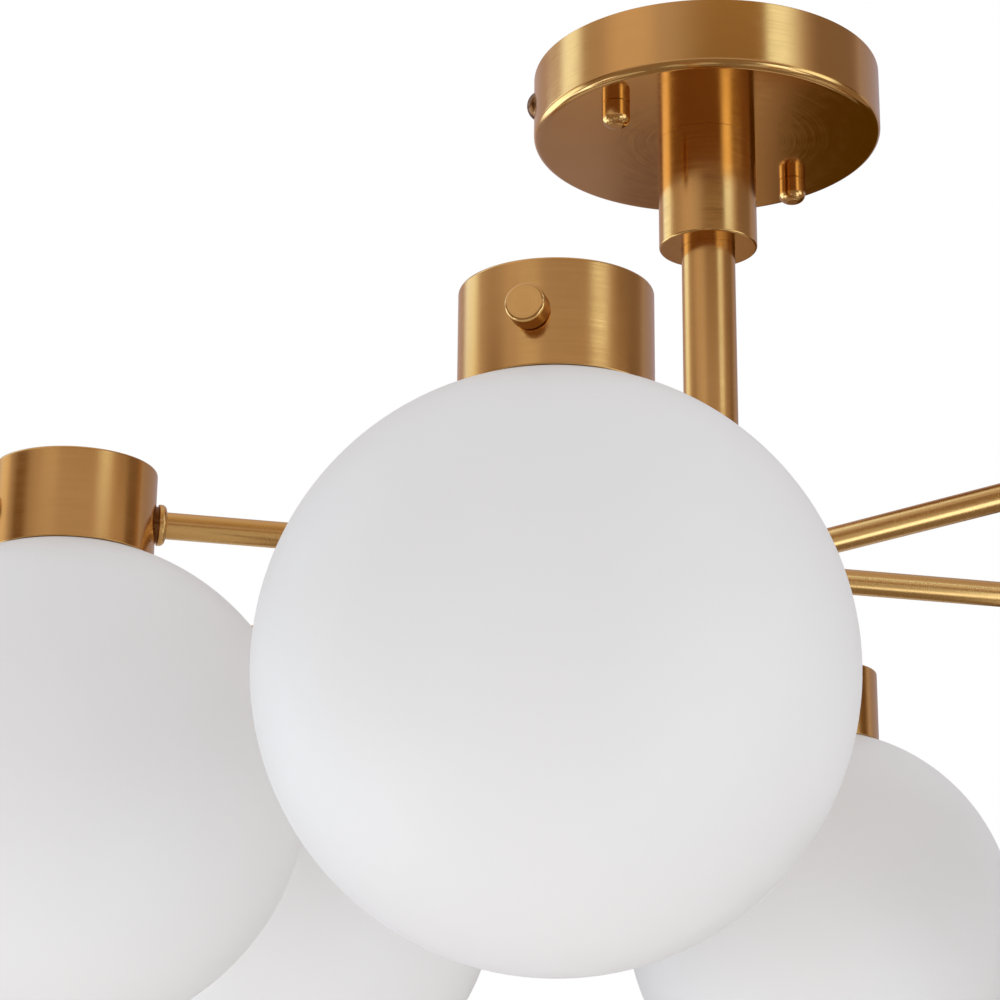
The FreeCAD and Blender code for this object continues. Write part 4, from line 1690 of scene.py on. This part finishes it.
    def build_camera(self) -> None:
        """Camera at the viewing angle: heading and pitch aim it, roll turns it about its own axis."""
        heading, pitch, roll = (math.radians(a) for a in (self.heading, self.pitch, self.roll))
        ahead = Vector((math.cos(heading) * math.cos(pitch), math.sin(heading) * math.cos(pitch),
                        math.sin(pitch)))
        level = Vector((math.sin(heading), -math.cos(heading), 0.0))
        over = level.cross(ahead)
        right = level * math.cos(roll) + over * math.sin(roll)
        up = over * math.cos(roll) - level * math.sin(roll)
        data = bpy.data.cameras.new("camera")
        data.lens = self.focal_length
        data.sensor_width = self.sensor
        camera = bpy.data.objects.new("camera", data)
        turned = Matrix((right, up, -ahead)).transposed().to_4x4()
        camera.matrix_world = Matrix.Translation(self.camera_place) @ turned
        bpy.context.scene.collection.objects.link(camera)
        bpy.context.scene.camera = camera

    def build_world(self) -> None:
        """White where it is seen or reflected, and softer as a light."""
        world = bpy.data.worlds.new("studio_world")
        world.use_nodes = True
        graph = Graph(world.node_tree)
        path = graph.node("ShaderNodeLightPath")
        seen = graph.math("ADD", path.outputs["Is Camera Ray"], path.outputs["Is Glossy Ray"])
        seen = graph.math("ADD", seen, path.outputs["Is Transmission Ray"])
        background = graph.node("ShaderNodeBackground")
        background.inputs["Color"].default_value = (1.0, 1.0, 1.0, 1.0)
        graph.feed(background.inputs["Strength"], graph.spread(seen, self.ambient, 1.0, 0.0, 1.0))
        output = graph.node("ShaderNodeOutputWorld")
        graph.feed(output.inputs["Surface"], background.outputs[0])
        bpy.context.scene.world = world

    def build_lamp(self, plan: Lamp) -> None:
        """Area lamp that lights the piece without showing in reflections.

        Args:
            plan: The lamp's place, size and power.
        """
        data = bpy.data.lights.new(plan.name, "AREA")
        data.shape = "RECTANGLE"
        data.size, data.size_y = plan.size
        data.energy = plan.power
        lamp = bpy.data.objects.new(plan.name, data)
        bearing = self.bearing(plan.offset)
        place = Vector((plan.distance * math.cos(bearing), plan.distance * math.sin(bearing), plan.level))
        aim = Vector((0.0, 0.0, self.aim_level)) - place
        lamp.matrix_world = Matrix.Translation(place) @ aim.to_track_quat("-Z", "Y").to_matrix().to_4x4()
        lamp.visible_glossy = False
        lamp.visible_camera = False
        bpy.context.scene.collection.objects.link(lamp)

    def build_floor(self) -> None:
        """Plain pale floor, far below the light."""
        steps = np.linspace(-self.floor_half, self.floor_half, self.floor_steps)
        x, y = np.meshgrid(steps, steps, indexing="ij")
        points = np.stack([x, y, np.full_like(x, self.floor_level)], axis=-1)
        finish = Mottled("pale_floor", None, self.floor_colour, self.floor_colour, self.floor_gloss,
                         self.floor_grain, self.floor_relief)
        self.add_stage("studio_floor", points, finish.material())

    def panel_colours(self, offsets: np.ndarray, levels: np.ndarray) -> np.ndarray:
        """Light of the drum's wall: each panel covers the ones before it, with soft edges.

        Args:
            offsets: Degrees to the right of the camera's place.
            levels: Heights on the wall.

        Returns:
            Colours by offset and level.
        """
        angle, level = np.meshgrid(offsets, levels, indexing="ij")
        colour = np.tile(np.array(self.room), (*angle.shape, 1))
        for panel in self.panels:
            left = ease((angle - panel.start) / panel.side_soft)
            right = ease((panel.stop - angle) / panel.side_soft)
            bottom = ease((level - panel.low) / panel.level_soft)
            top = ease((panel.high - level) / panel.level_soft)
            share = (left * right * bottom * top)[..., None]
            colour = colour * (1.0 - share) + np.array(panel.colour) * share
        return colour

    def build_drum(self) -> None:
        """Round drum with panels, which only reflections see.

        Its levels go on below the wall's foot, where they count the way inwards on the ground.
        """
        offsets = np.linspace(-180.0, 180.0, self.drum_columns)
        wall = np.linspace(self.drum_low, self.drum_high, self.wall_rows)
        inwards = np.linspace(self.drum_radius - self.drum_gap, 0.0, self.ground_rows)[:-1]
        levels = np.concatenate([self.drum_low - inwards, wall])
        radii = np.concatenate([self.drum_radius - inwards, np.full(len(wall), self.drum_radius),
                                [self.drum_gap]])
        heights = np.concatenate([np.full(len(inwards), self.drum_low), wall, [self.drum_high]])
        points = self.round_the_stem(offsets, radii, heights)
        roof = np.broadcast_to(np.array(self.roof), (len(offsets), 1, 3))
        colour = np.concatenate([self.panel_colours(offsets, levels), roof], axis=1)
        material = bpy.data.materials.new("studio_drum_panels")
        material.use_nodes = True
        graph = Graph(material.node_tree)
        emission = graph.node("ShaderNodeEmission")
        panel_colour = graph.node("ShaderNodeAttribute", attribute_name="panel")
        graph.feed(emission.inputs["Color"], panel_colour.outputs["Color"])
        output = graph.node("ShaderNodeOutputMaterial")
        graph.feed(output.inputs["Surface"], emission.outputs[0])
        drum = self.add_stage("studio_drum", points, material)
        tone = drum.data.attributes.new("panel", "FLOAT_COLOR", "POINT")
        solid = np.concatenate([colour, np.ones((*colour.shape[:2], 1))], axis=-1)
        tone.data.foreach_set("color", solid.astype(np.float32).ravel())
        self.show_in_reflections_only(drum)

    def build_card(self, card: Card) -> None:
        """Curved card on a cylinder round the stem, see-through where its edges fade.

        Args:
            card: The card's place, size and light.
        """
        offsets = np.linspace(card.start - card.start_soft, card.stop + card.stop_soft, self.card_columns)
        levels = np.linspace(card.low - card.level_soft, card.high + card.level_soft, self.card_rows)
        points = self.round_the_stem(offsets, np.full(len(levels), card.distance), levels)
        sides = ease((offsets - card.start) / card.start_soft) * ease((card.stop - offsets) / card.stop_soft)
        ends = ease((levels - card.low) / card.level_soft) * ease((card.high - levels) / card.level_soft)
        material = bpy.data.materials.new(card.name)
        material.use_nodes = True
        graph = Graph(material.node_tree)
        emission = graph.node("ShaderNodeEmission")
        emission.inputs["Color"].default_value = opaque(card.colour)
        mix = graph.node("ShaderNodeMixShader")
        graph.feed(mix.inputs[0], graph.node("ShaderNodeAttribute", attribute_name="share").outputs["Fac"])
        graph.feed(mix.inputs[1], graph.node("ShaderNodeBsdfTransparent").outputs[0])
        graph.feed(mix.inputs[2], emission.outputs[0])
        graph.feed(graph.node("ShaderNodeOutputMaterial").inputs["Surface"], mix.outputs[0])
        panel = self.add_stage(card.name, points, material)
        share = panel.data.attributes.new("share", "FLOAT", "POINT")
        share.data.foreach_set("value", (sides[:, None] * ends).astype(np.float32).ravel())
        self.show_in_reflections_only(panel)

    @staticmethod
    def show_in_reflections_only(stage: bpy.types.Object) -> None:
        """Hide a stage object from all rays but glossy ones.

        Args:
            stage: The object.
        """
        stage.visible_camera = False
        stage.visible_diffuse = False
        stage.visible_transmission = False
        stage.visible_shadow = False
        stage.visible_volume_scatter = False

    @staticmethod
    def add_stage(name: str, points: np.ndarray, material: bpy.types.Material) -> bpy.types.Object:
        """Add an open grid of points to the scene as stage.

        Args:
            name: Name of the object.
            points: Grid of points.
            material: Its material.

        Returns:
            The new object.
        """
        rows, columns = points.shape[:2]
        index = np.arange(rows * columns).reshape(rows, columns)
        faces = np.stack([index[:-1, :-1], index[1:, :-1], index[1:, 1:], index[:-1, 1:]], axis=-1)
        mesh = bpy.data.meshes.new(name)
        mesh.from_pydata(points.reshape(-1, 3).tolist(), [], faces.reshape(-1, 4).tolist())
        mesh.materials.append(material)
        stage = bpy.data.objects.new(name, mesh)
        bpy.context.scene.collection.objects.link(stage)
        return stage


def main() -> None:
    """Load the frame, dress it piece by piece and set the studio round it."""
    logging.basicConfig(level=logging.INFO, format="%(name)s: %(message)s")
    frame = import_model()
    nodes = frame["nodes"]
    CanopyAssembly().build(nodes)
    StemAssembly().build()
    for number in ARM_NUMBERS:
        ArmStation(number).build(nodes)
    CarriedNodes().build(nodes)
    Studio().build()


if __name__ == "__main__":
    main()
